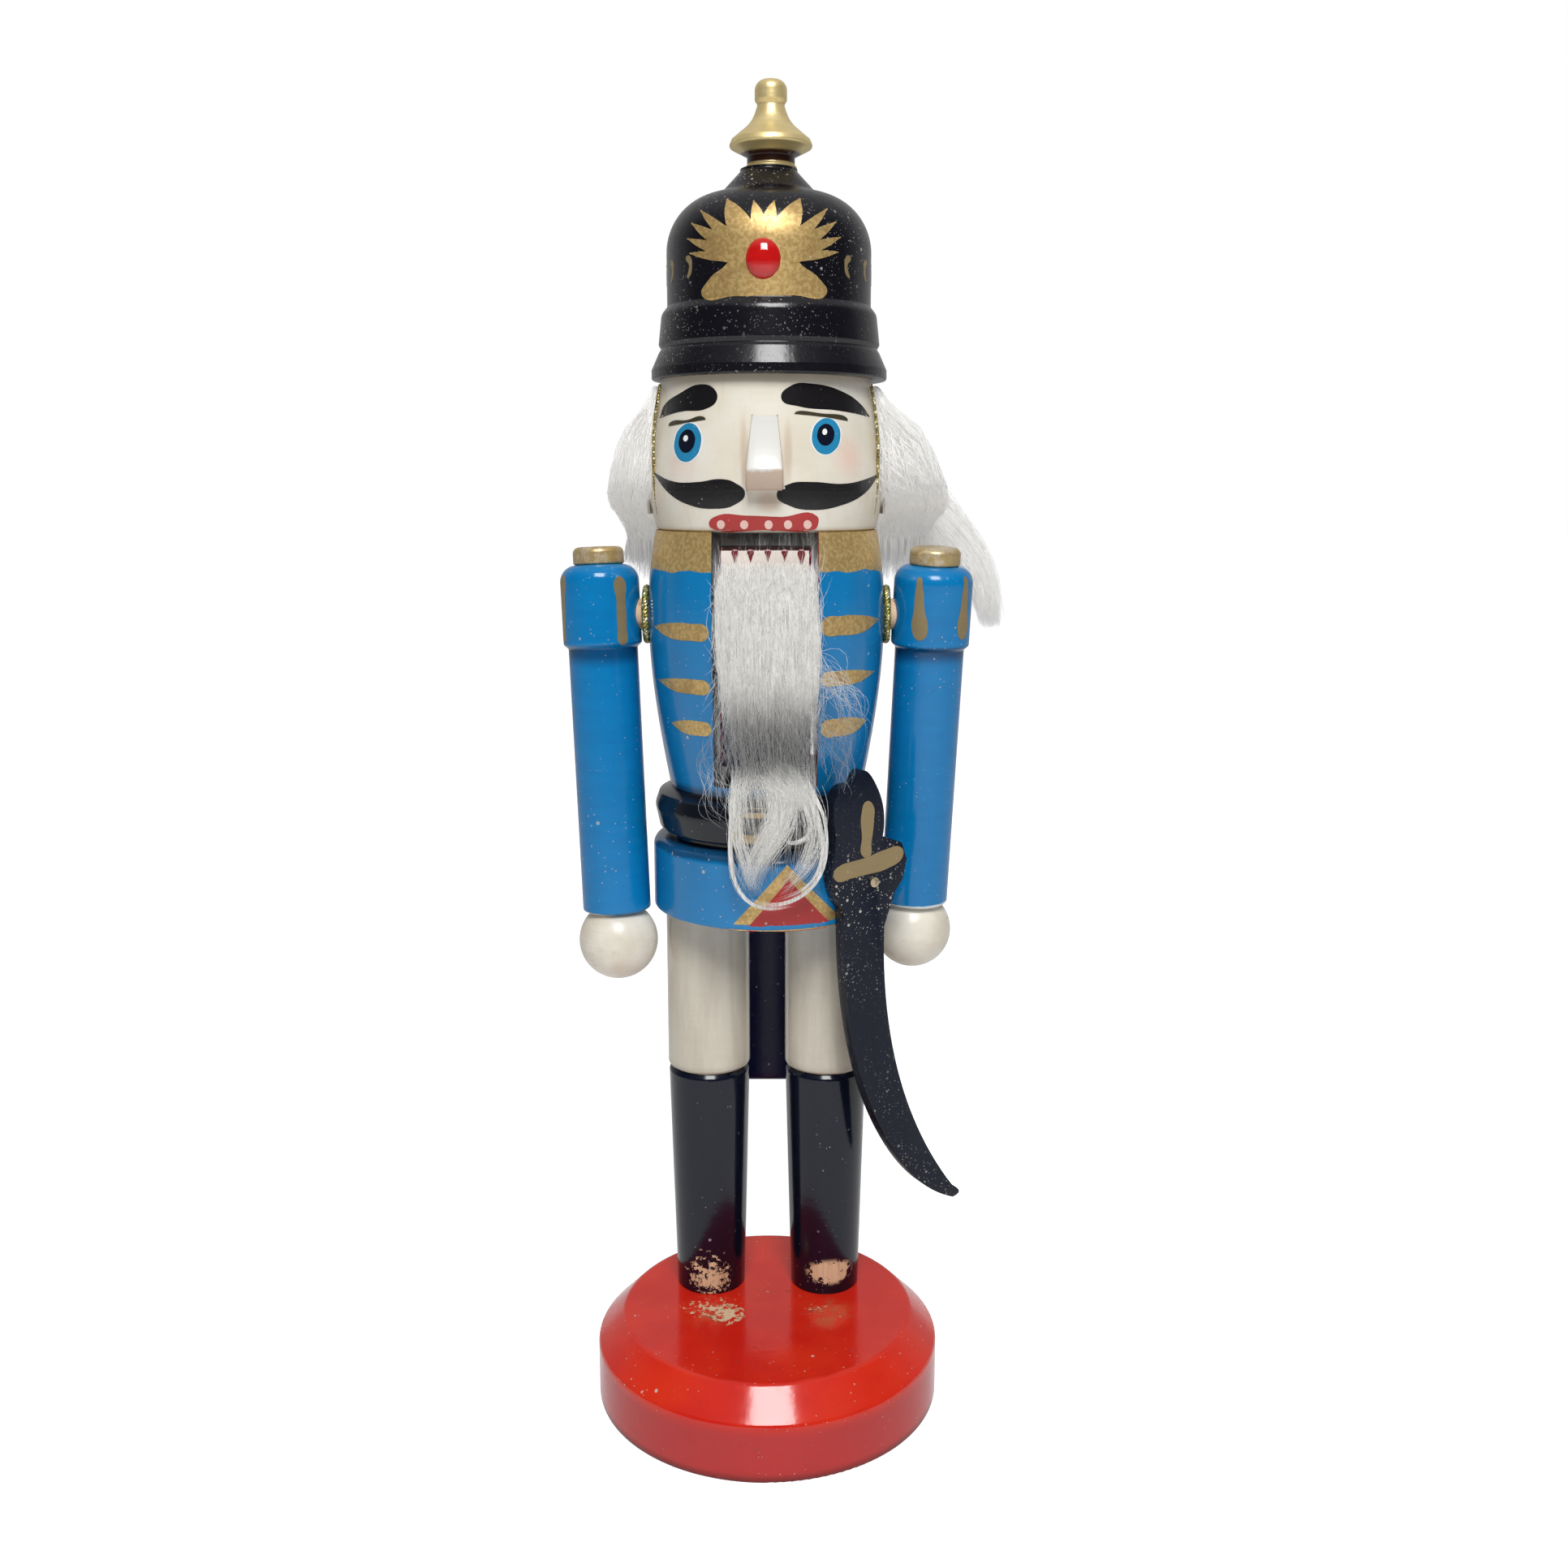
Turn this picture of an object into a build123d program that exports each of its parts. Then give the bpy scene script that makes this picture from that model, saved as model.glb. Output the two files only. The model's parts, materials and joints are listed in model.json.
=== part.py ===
from build123d import *
from math import asin, cos, radians, sin, sqrt, tan
import os

# A standing nutcracker figure: turned wooden pieces on glued dowels, with a jaw lever on a cross pin
# and two arms that turn on shoulder dowels. Millimetres, +Z up. The figure faces -Y, so its own left
# side is +X. The origin is the centre of the base's underside.

os.makedirs("parts", exist_ok=True)

# Base: a turned disc with a sloping shoulder.
base_r = 34.4
base_h = 17.0
base_top_r = 29.0
base_slope_h = 5.4
setback = 10.2              # how far behind the base's middle the figure stands

# Legs: boot and trouser leg turned in one piece.
leg_x = 11.9
leg_len = 82.6
boot_h = 48.4
ankle_r = 7.0
boot_r = 8.2
trouser_r = 8.35
cuff_groove = 0.7           # depth of the groove between boot and trouser leg

# Torso: skirt, groove, belt and jacket turned in one piece.
skirt_r = 22.5
skirt_h = 13.9
groove_r = 18.9
groove_h = 1.9
belt_r = 22.1
belt_h = 8.2
waist_r = 18.9
chest_r = 22.8
collar_r = 21.2
jacket_h = 49.6

# Slot through the torso for the jaw lever.
lever_w = 16.6
slot_side = 1.25            # between the lever and each wall of the slot
slot_h = 46.9

# Head and hat, each one turning.
head_h = 27.6
chin_r = 21.0
cheek_r = 22.05
crown_seat_r = 19.9
brim_r = 22.1
band_r = 20.7
crown_r = 19.0
brim_h = 1.8
band_z = 6.4                # widest line of the band, above the brim's underside
band_h = 5.4
crown_z = 13.2
dome_h = 31.5
dome_round = 10.5
cone_r = 9.0
cone_h = 4.4
hat_h = 37.7
hat_shift = 0.6             # the hat sits a little to the figure's left
finial_shift = 1.0

# Finial on the hat.
finial_h = 15.5
finial_disc_r = 7.75
finial_neck_r = 4.4
finial_knob_r = 2.95

# Nose: a wedge glued to the face.
nose_w = 6.6
nose_top_w = 4.2
nose_z = 7.3                # its underside above the chin
nose_h = 15.0
nose_proud = 5.2
nose_blunt = 3.7            # height of its blunt end

# Jaw lever: one board, from the teeth through the slot to the coat-tail handle.
mouth_gap = 2.7
jaw_inset = 1.8             # jaw's front behind the widest line of the jacket
jaw_floor_gap = 4.9         # jaw's lower end above the slot's floor
jaw_top_d = 12.0
handle_t = 7.0
handle_gap = 0.6
handle_drop = 48.1          # how far the handle hangs below the skirt's hem
handle_top = 32.0           # top outer corner of the handle, below the torso's top
pivot_y = 8.0               # pin's distance in front of the torso's axis
pivot_h = 21.2              # pin above the slot's floor
pin_r = 1.5
pin_inset = 0.6

# Arms: cap and sleeve turned in one piece, on a dowel that turns in the torso.
shoulder_drop = 16.2        # arm's pivot below the torso's top
shoulder_gap = 1.6          # between the jacket and the cap
cap_r = 7.6
cap_up = 9.5
cap_down = 6.5
sleeve_r = 6.7
cuff_drop = 0.9             # sleeve's end below the skirt's hem
arm_lean = 2.2
left_swing = 3.5            # rest pose, degrees behind vertical
right_swing = -3.5
hand_r = 7.8
hand_flat = 1.6             # cut off the ball where it meets the sleeve
epaulette_r = 4.9
epaulette_h = 3.4
shoulder_wall = 3.25        # wood between the dowel hole and the slot
arm_clear = 0.6             # least gap between an arm and the skirt or a leg
arm_bore = 9.0              # and in the arm

# Dowels, tenons and how they fit.
big_dowel_r = 3.0
small_dowel_r = 2.0
dowel_in = 8.0
neck_wall = 5.0             # slot wall to the middle of a neck dowel
end_gap = 0.4
turn_clearance = 0.05

# Braid and cord trim.
ring_r = 5.0
braid_r = 0.75
ring_sink = 0.4
cord_r = 0.6

# Sword: a flat board nailed to the skirt.
sword_t = 3.2
nail_u = 8.9                # nail to the line where the board touches the skirt
nail_h = 8.5                # nail above the skirt's hem
sword_arm_gap = 1.1
nail_r = 0.5
nail_head_r = 0.95
nail_head_t = 0.5
nail_len = 11.5

# Jewel on the hat.
jewel_w = 6.2
jewel_h = 7.2
jewel_proud = 1.3
jewel_seat = 0.5            # how far its widest part lies inside the hat's surface
jewel_z = 19.5

# Soft pieces.
soft_gap = 0.3
hair_t = 9.9                # thickness of the hair at its bottom edge
hair_thin = 1.9             # and under the brim
hair_below = 10.0           # how far the hair hangs below the chin
hair_front = 4.5            # how far the hair comes forward of the head's axis
nape_w = 19.0               # gap in the hair over the jaw lever
nape_h = 9.0
shoulder_clear = 1.2        # between the hair and the turning epaulettes
beard_t = 4.4
beard_tip = 4.4             # tip of the beard, above the skirt's hem

# Heights and places that follow from these sizes.
hem_z = base_h + leg_len
belt_z = hem_z + skirt_h + groove_h
jacket_z = belt_z + belt_h
neck_z = jacket_z + jacket_h
slot_z = neck_z - slot_h
brow_z = neck_z + head_h
tip_z = brow_z + hat_h
pivot_z = slot_z + pivot_h
shoulder_z = neck_z - shoulder_drop
sleeve_len = shoulder_z - hem_z + cuff_drop
lean_per_mm = sin(radians(arm_lean))
shoulder_x = max(
    chest_r + shoulder_gap + cap_r,
    skirt_r + arm_clear + sleeve_r + sleeve_len * lean_per_mm,
    leg_x + trouser_r + arm_clear + hand_r + (sleeve_len + hand_r) * lean_per_mm)
epaulette_sweep = sqrt((cap_up + epaulette_h)**2 + epaulette_r**2)
hip_r = max(skirt_r, belt_r)
slot_w = lever_w + 2 * slot_side
neck_x = slot_w / 2 + neck_wall
shoulder_bore = chest_r - slot_w / 2 - shoulder_wall
jaw_reach = chest_r - jaw_inset
jaw_h = slot_h - mouth_gap - jaw_floor_gap
tip_r = finial_neck_r + 0.9
axis_of_figure = Pos(0, setback, 0)


def turned(*lines):
    """A turning about +Z, from outline lines with X as the radius and Y as the height."""
    outline = make_face(Curve() + list(lines))
    return revolve(Plane.XZ * outline, Axis.Z)


def rod(radius, length):
    """A dowel that stands on the XY plane."""
    return Cylinder(radius, length, align=(Align.CENTER, Align.CENTER, Align.MIN))


def cross_rod(radius, start_x, end_x):
    """A dowel along X between two places."""
    return Pos(start_x, 0, 0) * Rot(0, 90, 0) * rod(radius, end_x - start_x)


def base():
    outline = FilletPolyline(
        (0, 0), (base_r, 0), (base_r, base_h - base_slope_h), (base_top_r, base_h), (0, base_h),
        radius=[0, 0.5, 1.2, 1.2, 0], close=True)
    return turned(outline)


def leg():
    cuff_r = boot_r - cuff_groove
    outline = FilletPolyline(
        (0, 0), (ankle_r, 0), (boot_r, boot_h - 1.0), (cuff_r, boot_h), (trouser_r, boot_h + 0.3),
        (trouser_r, leg_len), (0, leg_len),
        radius=[0, 0.3, 0.9, 0, 0.9, 0.4, 0], close=True)
    return turned(outline)


def torso_turning():
    belt_mid = groove_h + belt_h * 0.58
    lower = FilletPolyline(
        (0, 0), (skirt_r, 0), (skirt_r, skirt_h), (groove_r, skirt_h + 0.7),
        (groove_r, skirt_h + groove_h), (belt_r - 1.0, skirt_h + groove_h),
        (belt_r, skirt_h + belt_mid), (belt_r - 0.9, skirt_h + groove_h + belt_h - 0.9),
        (waist_r, skirt_h + groove_h + belt_h),
        radius=[0.6, 2.0, 0.4, 0.3, 1.0, 2.5, 0.6])
    start = skirt_h + groove_h + belt_h
    jacket = Spline(
        (waist_r, start),
        (waist_r + 0.76 * (chest_r - waist_r), start + 0.37 * jacket_h),
        (chest_r, start + 0.68 * jacket_h),
        (collar_r, start + jacket_h))
    top = Polyline((collar_r, start + jacket_h), (0, start + jacket_h), (0, 0))
    return turned(lower, jacket, top)


def slot():
    """The space that the jaw lever swings in, open at the front, the back and the top."""
    room = Box(slot_w, 3 * chest_r, slot_h + 1, align=(Align.CENTER, Align.CENTER, Align.MIN))
    return Pos(0, setback, slot_z) * room


def head_turning():
    cheeks = Spline(
        (chin_r, 0.4), (cheek_r, 0.25 * head_h), (0.985 * cheek_r, 0.52 * head_h), (crown_seat_r, head_h))
    chin = Polyline((crown_seat_r, head_h), (0, head_h), (0, 0), (chin_r - 0.5, 0), (chin_r, 0.4))
    return turned(cheeks, chin)


def hat_turning():
    outline = FilletPolyline(
        (0, 0), (brim_r, 0), (brim_r, brim_h), (band_r, band_z - 1.5), (band_r - 0.45, band_z - 0.8),
        (band_r, band_z), (band_r - 0.6, band_z + band_h), (crown_r, crown_z), (crown_r, dome_h),
        (cone_r, hat_h - cone_h), (tip_r, hat_h - 0.5), (tip_r, hat_h), (0, hat_h),
        radius=[0, 0.4, 0.6, 0.3, 0.2, 0.4, 2.0, 0.4, dome_round, 3.0, 0.3, 0.1, 0], close=True)
    return turned(outline)


def finial():
    tenon = Pos(0, 0, -dowel_in) * rod(small_dowel_r, dowel_in + 1)
    outline = FilletPolyline(
        (0, 0), (finial_neck_r + 0.6, 0), (finial_neck_r, 0.05 * finial_h), (finial_neck_r, 0.14 * finial_h),
        (finial_disc_r, 0.25 * finial_h), (finial_disc_r - 0.5, 0.33 * finial_h),
        (finial_knob_r + 0.5, 0.53 * finial_h), (finial_knob_r - 0.5, 0.72 * finial_h),
        (finial_knob_r, 0.77 * finial_h), (finial_knob_r, finial_h), (0, finial_h),
        radius=[0, 0.2, 0.4, 0.4, 0.5, 0.6, 6.0, 0.6, 0.3, 0.64 * finial_knob_r, 0], close=True)
    return axis_of_figure * Pos(finial_shift, 0, tip_z) * (turned(outline) + tenon)


def nose():
    """A wedge with its apex between the brows and its blunt end above the lip."""
    back = -cheek_r + 2.5
    front = -cheek_r - nose_proud
    side = Polyline(
        (back, 0), (front + 2.2, 0.2), (front, nose_blunt), (back, nose_h), close=True)
    wedge = extrude(Plane.YZ * make_face(side), nose_w / 2, both=True)
    upright = Plane(origin=(0, 0, 0), x_dir=(1, 0, 0), z_dir=(0, -1, 0))
    taper = Polyline(
        (-nose_w / 2, -1), (nose_w / 2, -1), (nose_w / 2, nose_blunt), (nose_top_w / 2, nose_h),
        (-nose_top_w / 2, nose_h), (-nose_w / 2, nose_blunt), close=True)
    taper_body = extrude(upright * make_face(taper), 2 * cheek_r)
    return axis_of_figure * Pos(0, 0, neck_z + nose_z) * (wedge & taper_body)


def jaw_lever():
    """The lever board, drawn from the side with Y backwards and Z up."""
    jaw_top = neck_z - mouth_gap
    inner = hip_r + handle_gap
    outer = inner + handle_t
    tail = hem_z - handle_drop
    side = FilletPolyline(
        (-jaw_reach, jaw_top - jaw_h), (-jaw_reach, jaw_top), (-jaw_reach + jaw_top_d, jaw_top),
        (0.7 * outer, neck_z - handle_top + 10), (outer, neck_z - handle_top), (outer, tail), (inner, tail),
        (inner, slot_z + 2.0), (-pivot_y, slot_z + 2.0),
        radius=[5.0, 0.8, 3.0, 6.0, 4.0, 2.0, 2.0, 3.0, 4.0], close=True)
    board = extrude(Plane.YZ * make_face(side), lever_w / 2, both=True)
    hole = Pos(0, -pivot_y, pivot_z) * cross_rod(pin_r + turn_clearance, -lever_w, lever_w)
    return axis_of_figure * (board - hole)


def jaw_pin():
    across = sqrt(chest_r**2 - pivot_y**2) - 1.0 - pin_inset
    return axis_of_figure * Pos(0, -pivot_y, pivot_z) * cross_rod(pin_r, -across, across)


def arm_place(side, swing):
    """Where an arm hangs at rest; side is 1 for the figure's left and -1 for its right."""
    return Pos(side * shoulder_x, setback, shoulder_z) * Rot(swing, 0, 0) * Rot(0, side * arm_lean, 0)


def sleeve_turning():
    outline = FilletPolyline(
        (0, -sleeve_len), (sleeve_r, -sleeve_len), (sleeve_r, -cap_down), (cap_r, -cap_down + 0.8),
        (cap_r, cap_up), (0, cap_up),
        radius=[0, 0.5, 0.3, 0.6, 3.2, 0], close=True)
    return turned(outline)


def hand():
    """A ball with a flat against the sleeve's end and a tenon up into it."""
    ball = Pos(0, 0, -sleeve_len - hand_r + hand_flat) * Sphere(hand_r)
    flat = Pos(0, 0, -sleeve_len) * rod(2 * hand_r, 2 * hand_flat)
    tenon = Pos(0, 0, -sleeve_len - 1) * rod(small_dowel_r, dowel_in + 1)
    return ball - flat + tenon


def epaulette():
    outline = FilletPolyline(
        (0, 0), (epaulette_r, 0), (epaulette_r, epaulette_h), (0, epaulette_h),
        radius=[0, 0.5, 1.2, 0], close=True)
    return Pos(0, 0, cap_up) * turned(outline)


def shoulder_dowel(side):
    inner = chest_r - shoulder_bore + end_gap
    outer = shoulder_x - cap_r + arm_bore
    body = cross_rod(big_dowel_r, min(side * inner, side * outer), max(side * inner, side * outer))
    return Pos(0, setback, shoulder_z) * body


def shoulder_hole(side):
    inner = chest_r - shoulder_bore
    outer = chest_r + shoulder_gap
    radius = big_dowel_r + turn_clearance
    body = cross_rod(radius, min(side * inner, side * outer), max(side * inner, side * outer))
    return Pos(0, setback, shoulder_z) * body


def shoulder_braid(side, torso):
    x = side * (chest_r + braid_r - ring_sink)
    ring = Pos(x, setback, shoulder_z) * Rot(0, 90, 0) * Torus(ring_r, braid_r)
    return ring - torso


def sword_plane():
    """The board's back face, touching the skirt and clear of the sleeve, with its origin at the nail."""
    height = hem_z + nail_h
    sleeve_x = shoulder_x - (shoulder_z - height) * tan(radians(arm_lean))
    turn = asin((hip_r - sleeve_r - sword_arm_gap) / sleeve_x)
    out = (sin(turn), -cos(turn), 0)
    along = (cos(turn), sin(turn), 0)
    x = hip_r * out[0] + nail_u * along[0]
    y = hip_r * out[1] + nail_u * along[1] + setback
    return Plane(origin=(x, y, height), x_dir=along, z_dir=out)


def sword():
    grip = Spline(
        (-4.6, 19.0), (-7.6, 18.2), (-8.8, 13.0), (-8.3, 9.0), (-9.2, 3.5), (-8.8, -0.6), (-6.5, -4.7))
    back_edge = Spline(
        (-6.5, -4.7), (-5.9, -19.0), (-2.7, -37.0), (5.1, -55.0), (12.0, -63.6), (20.0, -68.7))
    tip = Spline((20.0, -68.7), (21.5, -68.0), (19.9, -66.1))
    cutting_edge = Spline((19.9, -66.1), (13.6, -56.5), (7.2, -42.0), (3.4, -25.0), (2.6, -9.0))
    guard = Polyline((2.6, -9.0), (4.9, -2.6), (6.6, -0.3), (7.5, 3.6), (6.3, 6.9), (2.0, 8.5))
    hilt = Spline((2.0, 8.5), (2.1, 14.0), (0.2, 19.0), (-1.8, 21.4), (-4.6, 19.0))
    outline = make_face(Curve() + [grip, back_edge, tip, cutting_edge, guard, hilt])
    board = extrude(sword_plane() * outline, sword_t)
    return board


def sword_nail():
    shank = Pos(0, 0, sword_t - nail_len) * rod(nail_r, nail_len)
    head = Pos(0, 0, sword_t) * rod(nail_head_r, nail_head_t)
    return sword_plane() * (shank + head)


def hat_jewel(hat):
    lens = scale(Sphere(1), by=(jewel_w / 2, jewel_proud + jewel_seat, jewel_h / 2))
    return axis_of_figure * Pos(hat_shift - 0.8, -crown_r + jewel_seat, brow_z + jewel_z) * lens - hat


def hair_cord(side, head):
    """A thin cord glued up the edge of the face, over the hair's front edge."""
    turn = radians(20)

    def place(radius, height):
        out = radius + 0.7 * cord_r
        return (side * out * cos(turn), setback - out * sin(turn), height)

    path = ThreePointArc(
        place(cheek_r - 0.2, neck_z + 3.0), place(0.985 * cheek_r, neck_z + 0.52 * head_h),
        place(crown_seat_r + 0.2, brow_z - 1.2))
    section = Plane(origin=path @ 0, z_dir=path % 0) * Circle(cord_r)
    return sweep(section, path=path) - head


def hair():
    """A thick band of hair round the back of the head, with one long lock behind the left shoulder."""
    inner = max(cheek_r, chest_r) + soft_gap
    top = brow_z - soft_gap
    bottom = neck_z - hair_below
    outline = Polyline(
        (inner, bottom), (inner + hair_t, bottom + 5), (inner + hair_t - 1.2, neck_z + 3),
        (inner + 0.65 * hair_t, neck_z + 14), (inner + hair_thin, top - 2), (inner, top), close=True)
    ring = axis_of_figure * turned(outline)
    reach = 2 * (inner + hair_t)
    front = Pos(0, setback - hair_front, bottom - 1) * Box(
        2 * reach, reach, head_h + hair_below + 2, align=(Align.CENTER, Align.MAX, Align.MIN))
    behind_arms = epaulette_sweep + shoulder_clear
    shoulders = Pos(0, setback + behind_arms, neck_z + 1.0) * Box(
        2 * reach, reach, 2 * hair_below, align=(Align.CENTER, Align.MAX, Align.MAX))
    nape = Pos(0, setback, bottom - 1) * Box(
        nape_w, reach, nape_h, align=(Align.CENTER, Align.MIN, Align.MIN))
    low = neck_z - hair_below
    lock_outline = Polyline(
        (inner + 1, neck_z + 6), (inner + 12, neck_z + 3.5), (inner + 20, neck_z - 0.7),
        (inner + 23.6, neck_z - 6.3), (inner + 25.4, neck_z - 20.5), (inner + 21, neck_z - 20.5),
        (inner + 17.6, low + 1), (inner + 3, low + 2), close=True)
    upright = Plane(origin=(0, setback + behind_arms, 0), x_dir=(1, 0, 0), z_dir=(0, -1, 0))
    lock = extrude(upright * make_face(lock_outline), -6.0)
    return ring - front - shoulders - nape + lock


def beard():
    """Fur glued on the jaw's face, falling over the belt and the front of the skirt."""
    face = -jaw_reach
    clear = -hip_r - soft_gap
    jaw_top = neck_z - mouth_gap
    low = hem_z + beard_tip
    side = Polyline(
        (face, jaw_top - 1.5), (face - 2.6, jaw_top - 2.5), (clear - 0.9 * beard_t, jaw_top - 20),
        (clear - beard_t, belt_z + 4), (clear - 0.8 * beard_t, low), (clear, low),
        (clear, jacket_z + 1), (face, jacket_z + 7), close=True)
    sheet = extrude(Plane.YZ * make_face(side), 20, both=True)
    upright = Plane(origin=(0, 0, 0), x_dir=(1, 0, 0), z_dir=(0, -1, 0))
    front = Polyline(
        (-8.0, jaw_top), (8.0, jaw_top), (8.3, jacket_z + 20), (7.6, jacket_z + 8), (11.2, jacket_z + 2),
        (12.2, belt_z), (8.5, low + 3), (0, low), (-5.6, belt_z - 2), (-7.2, jacket_z), (-8.2, jacket_z + 12),
        close=True)
    shape = extrude(upright * make_face(front), 2 * skirt_r)
    return axis_of_figure * (sheet & shape)


def dowel_pair(x, low, high, radius):
    """Two upright dowels, one at each side of the figure's axis."""
    pair = [axis_of_figure * Pos(side * x, 0, low) * rod(radius, high - low) for side in (-1, 1)]
    return Compound(children=pair)


def write(name, shape):
    export_step(shape, "parts/" + name + ".step")


foot_dowels = dowel_pair(leg_x, base_h - dowel_in, base_h + dowel_in, big_dowel_r)
hip_dowels = dowel_pair(leg_x, hem_z - dowel_in, hem_z + dowel_in, big_dowel_r)
neck_dowels = dowel_pair(neck_x, neck_z - dowel_in, neck_z + dowel_in, small_dowel_r)
hat_dowel = axis_of_figure * Pos(0, 0, brow_z - dowel_in) * rod(big_dowel_r, 2 * dowel_in)

pin = jaw_pin()
nail = sword_nail()
torso = axis_of_figure * Pos(0, 0, hem_z) * torso_turning() - slot() - pin - nail
torso = torso - shoulder_hole(1) - shoulder_hole(-1)
for dowel in hip_dowels.children + neck_dowels.children:
    torso = torso - dowel

wedge = nose()
head = axis_of_figure * Pos(0, 0, neck_z) * head_turning() - wedge - hat_dowel
for dowel in neck_dowels.children:
    head = head - dowel

top_piece = finial()
hat = axis_of_figure * Pos(hat_shift, 0, brow_z) * hat_turning() - hat_dowel - top_piece

stand = base()
for dowel in foot_dowels.children:
    stand = stand - dowel

write("base", stand)
write("foot_dowels", foot_dowels)
write("hip_dowels", hip_dowels)
write("neck_dowels", neck_dowels)
write("hat_dowel", hat_dowel)
write("torso", torso)
write("jaw_pin", pin)
write("head", head)
write("nose", wedge)
write("hat", hat)
write("hat_jewel", hat_jewel(hat))
write("finial", top_piece)
write("hair", hair())
write("sword", sword() - nail)
write("sword_nail", nail)
write("jaw_lever", jaw_lever())
write("beard", beard())

for name, side, swing in (("left", 1, left_swing), ("right", -1, right_swing)):
    place = arm_place(side, swing)
    leg_piece = axis_of_figure * Pos(side * leg_x, 0, base_h) * leg()
    for dowel in foot_dowels.children + hip_dowels.children:
        leg_piece = leg_piece - dowel
    dowel = shoulder_dowel(side)
    palm = place * hand()
    write(name + "_leg", leg_piece)
    write(name + "_sleeve", place * sleeve_turning() - dowel - palm)
    write(name + "_hand", palm)
    write(name + "_epaulette", place * epaulette())
    write(name + "_shoulder_dowel", dowel)
    write(name + "_shoulder_braid", shoulder_braid(side, torso))
    write(name + "_hair_cord", hair_cord(side, head))
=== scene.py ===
import bpy
import json
import math
import numpy as np
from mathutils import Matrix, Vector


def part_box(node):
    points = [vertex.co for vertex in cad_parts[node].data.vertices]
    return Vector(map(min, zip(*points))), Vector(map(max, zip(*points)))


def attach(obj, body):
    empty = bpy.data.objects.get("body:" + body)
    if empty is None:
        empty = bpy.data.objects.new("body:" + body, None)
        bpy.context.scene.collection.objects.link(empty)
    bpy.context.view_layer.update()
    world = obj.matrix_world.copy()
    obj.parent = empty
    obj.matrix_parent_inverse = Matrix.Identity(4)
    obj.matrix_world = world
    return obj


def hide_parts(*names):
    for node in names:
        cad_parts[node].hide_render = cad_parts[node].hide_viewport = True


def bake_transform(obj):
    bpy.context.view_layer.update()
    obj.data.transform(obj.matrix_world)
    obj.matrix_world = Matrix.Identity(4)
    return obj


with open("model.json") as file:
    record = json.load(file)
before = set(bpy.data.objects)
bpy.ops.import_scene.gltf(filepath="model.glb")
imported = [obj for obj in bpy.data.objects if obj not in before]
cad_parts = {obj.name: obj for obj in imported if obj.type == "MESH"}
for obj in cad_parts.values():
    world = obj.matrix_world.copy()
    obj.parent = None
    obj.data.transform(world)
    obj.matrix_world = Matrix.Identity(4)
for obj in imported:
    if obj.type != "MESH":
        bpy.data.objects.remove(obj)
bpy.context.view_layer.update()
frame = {"nodes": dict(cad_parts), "record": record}
nodes = frame["nodes"]
mm = 0.001


# Base: one turned disc of beech with a sloping shoulder, brushed all over with
# bright red gloss enamel. Two toe pieces have come off and left torn paint.
def give(node, inputs):
    """Sets a shader node's inputs; one given as another node's socket is linked to it."""
    for name, value in inputs.items():
        if isinstance(value, bpy.types.NodeSocket):
            node.id_data.links.new(value, node.inputs[name])
        else:
            node.inputs[name].default_value = value
    return node


def put(kind, inputs, **settings):
    """A new shader node, in the tree that its linked inputs come from."""
    tree = next(value.id_data for value in inputs.values() if isinstance(value, bpy.types.NodeSocket))
    node = tree.nodes.new("ShaderNode" + kind)
    for name, value in settings.items():
        setattr(node, name, value)
    return give(node, inputs)


def sums(kind, *values):
    """The result of one Math node."""
    return put("Math", dict(enumerate(values)), operation=kind).outputs[0]


def times(*values):
    """Two numbers multiplied, and a third added if there is one."""
    return sums("MULTIPLY" if len(values) == 2 else "MULTIPLY_ADD", *values)


def vectors(kind, *values):
    """The result of one Vector Math node."""
    outputs = put("VectorMath", dict(enumerate(values)), operation=kind).outputs
    return outputs["Value" if kind in ("DISTANCE", "LENGTH") else "Vector"]


def off_centre(place, centre, reach):
    """How far a position lies from a centre, as a share of the reach along each axis."""
    return vectors("LENGTH", vectors("DIVIDE", vectors("SUBTRACT", place, centre), reach))


def parts(place):
    """A position's x, y and z."""
    return put("SeparateXYZ", {0: place}).outputs


def over(mask, under, top):
    """The colour top laid over the colour under where mask is 1."""
    return put("Mix", {0: mask, 6: under, 7: top}, data_type="RGBA").outputs[2]


def step(value, low, high):
    """0 at low and 1 at high, with a soft edge between; low above high turns it round."""
    node = put("MapRange", {"Value": value, "From Min": low, "From Max": high},
               interpolation_type="SMOOTHSTEP")
    return node.outputs[0]


def noise(place, scale, detail=2.0, roughness=0.5):
    """Cloudy noise from 0 to 1."""
    values = {"Vector": place, "Scale": scale, "Detail": detail, "Roughness": roughness}
    return put("TexNoise", values).outputs[0]


def spread(place, across, along):
    """Positions stretched so that a pattern runs long in one direction."""
    return vectors("MULTIPLY", place, (across, across, along))


def bumped(height, strength, depth):
    """The normal of a surface raised by height, for a depth in millimetres."""
    return put("Bump", {"Height": height, "Strength": strength, "Distance": depth * mm}).outputs[0]


def blank(name):
    """A new material with its shader and the piece's own positions."""
    material = bpy.data.materials.new(name)
    material.use_nodes = True
    tree = material.node_tree
    return material, tree.nodes["Principled BSDF"], tree.nodes.new("ShaderNodeTexCoord").outputs["Object"]


def effect(name, inputs, outputs):
    """An empty shader group with its sockets, and its two end nodes' sockets."""
    group = bpy.data.node_groups.new(name, "ShaderNodeTree")
    for label, value in inputs.items():
        kind = "NodeSocketVector" if isinstance(value, tuple) else "NodeSocketFloat"
        group.interface.new_socket(label, in_out="INPUT", socket_type=kind).default_value = value
    for label, kind in outputs.items():
        group.interface.new_socket(label, in_out="OUTPUT", socket_type="NodeSocket" + kind)
    return group, group.nodes.new("NodeGroupInput").outputs, group.nodes.new("NodeGroupOutput").inputs


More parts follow.
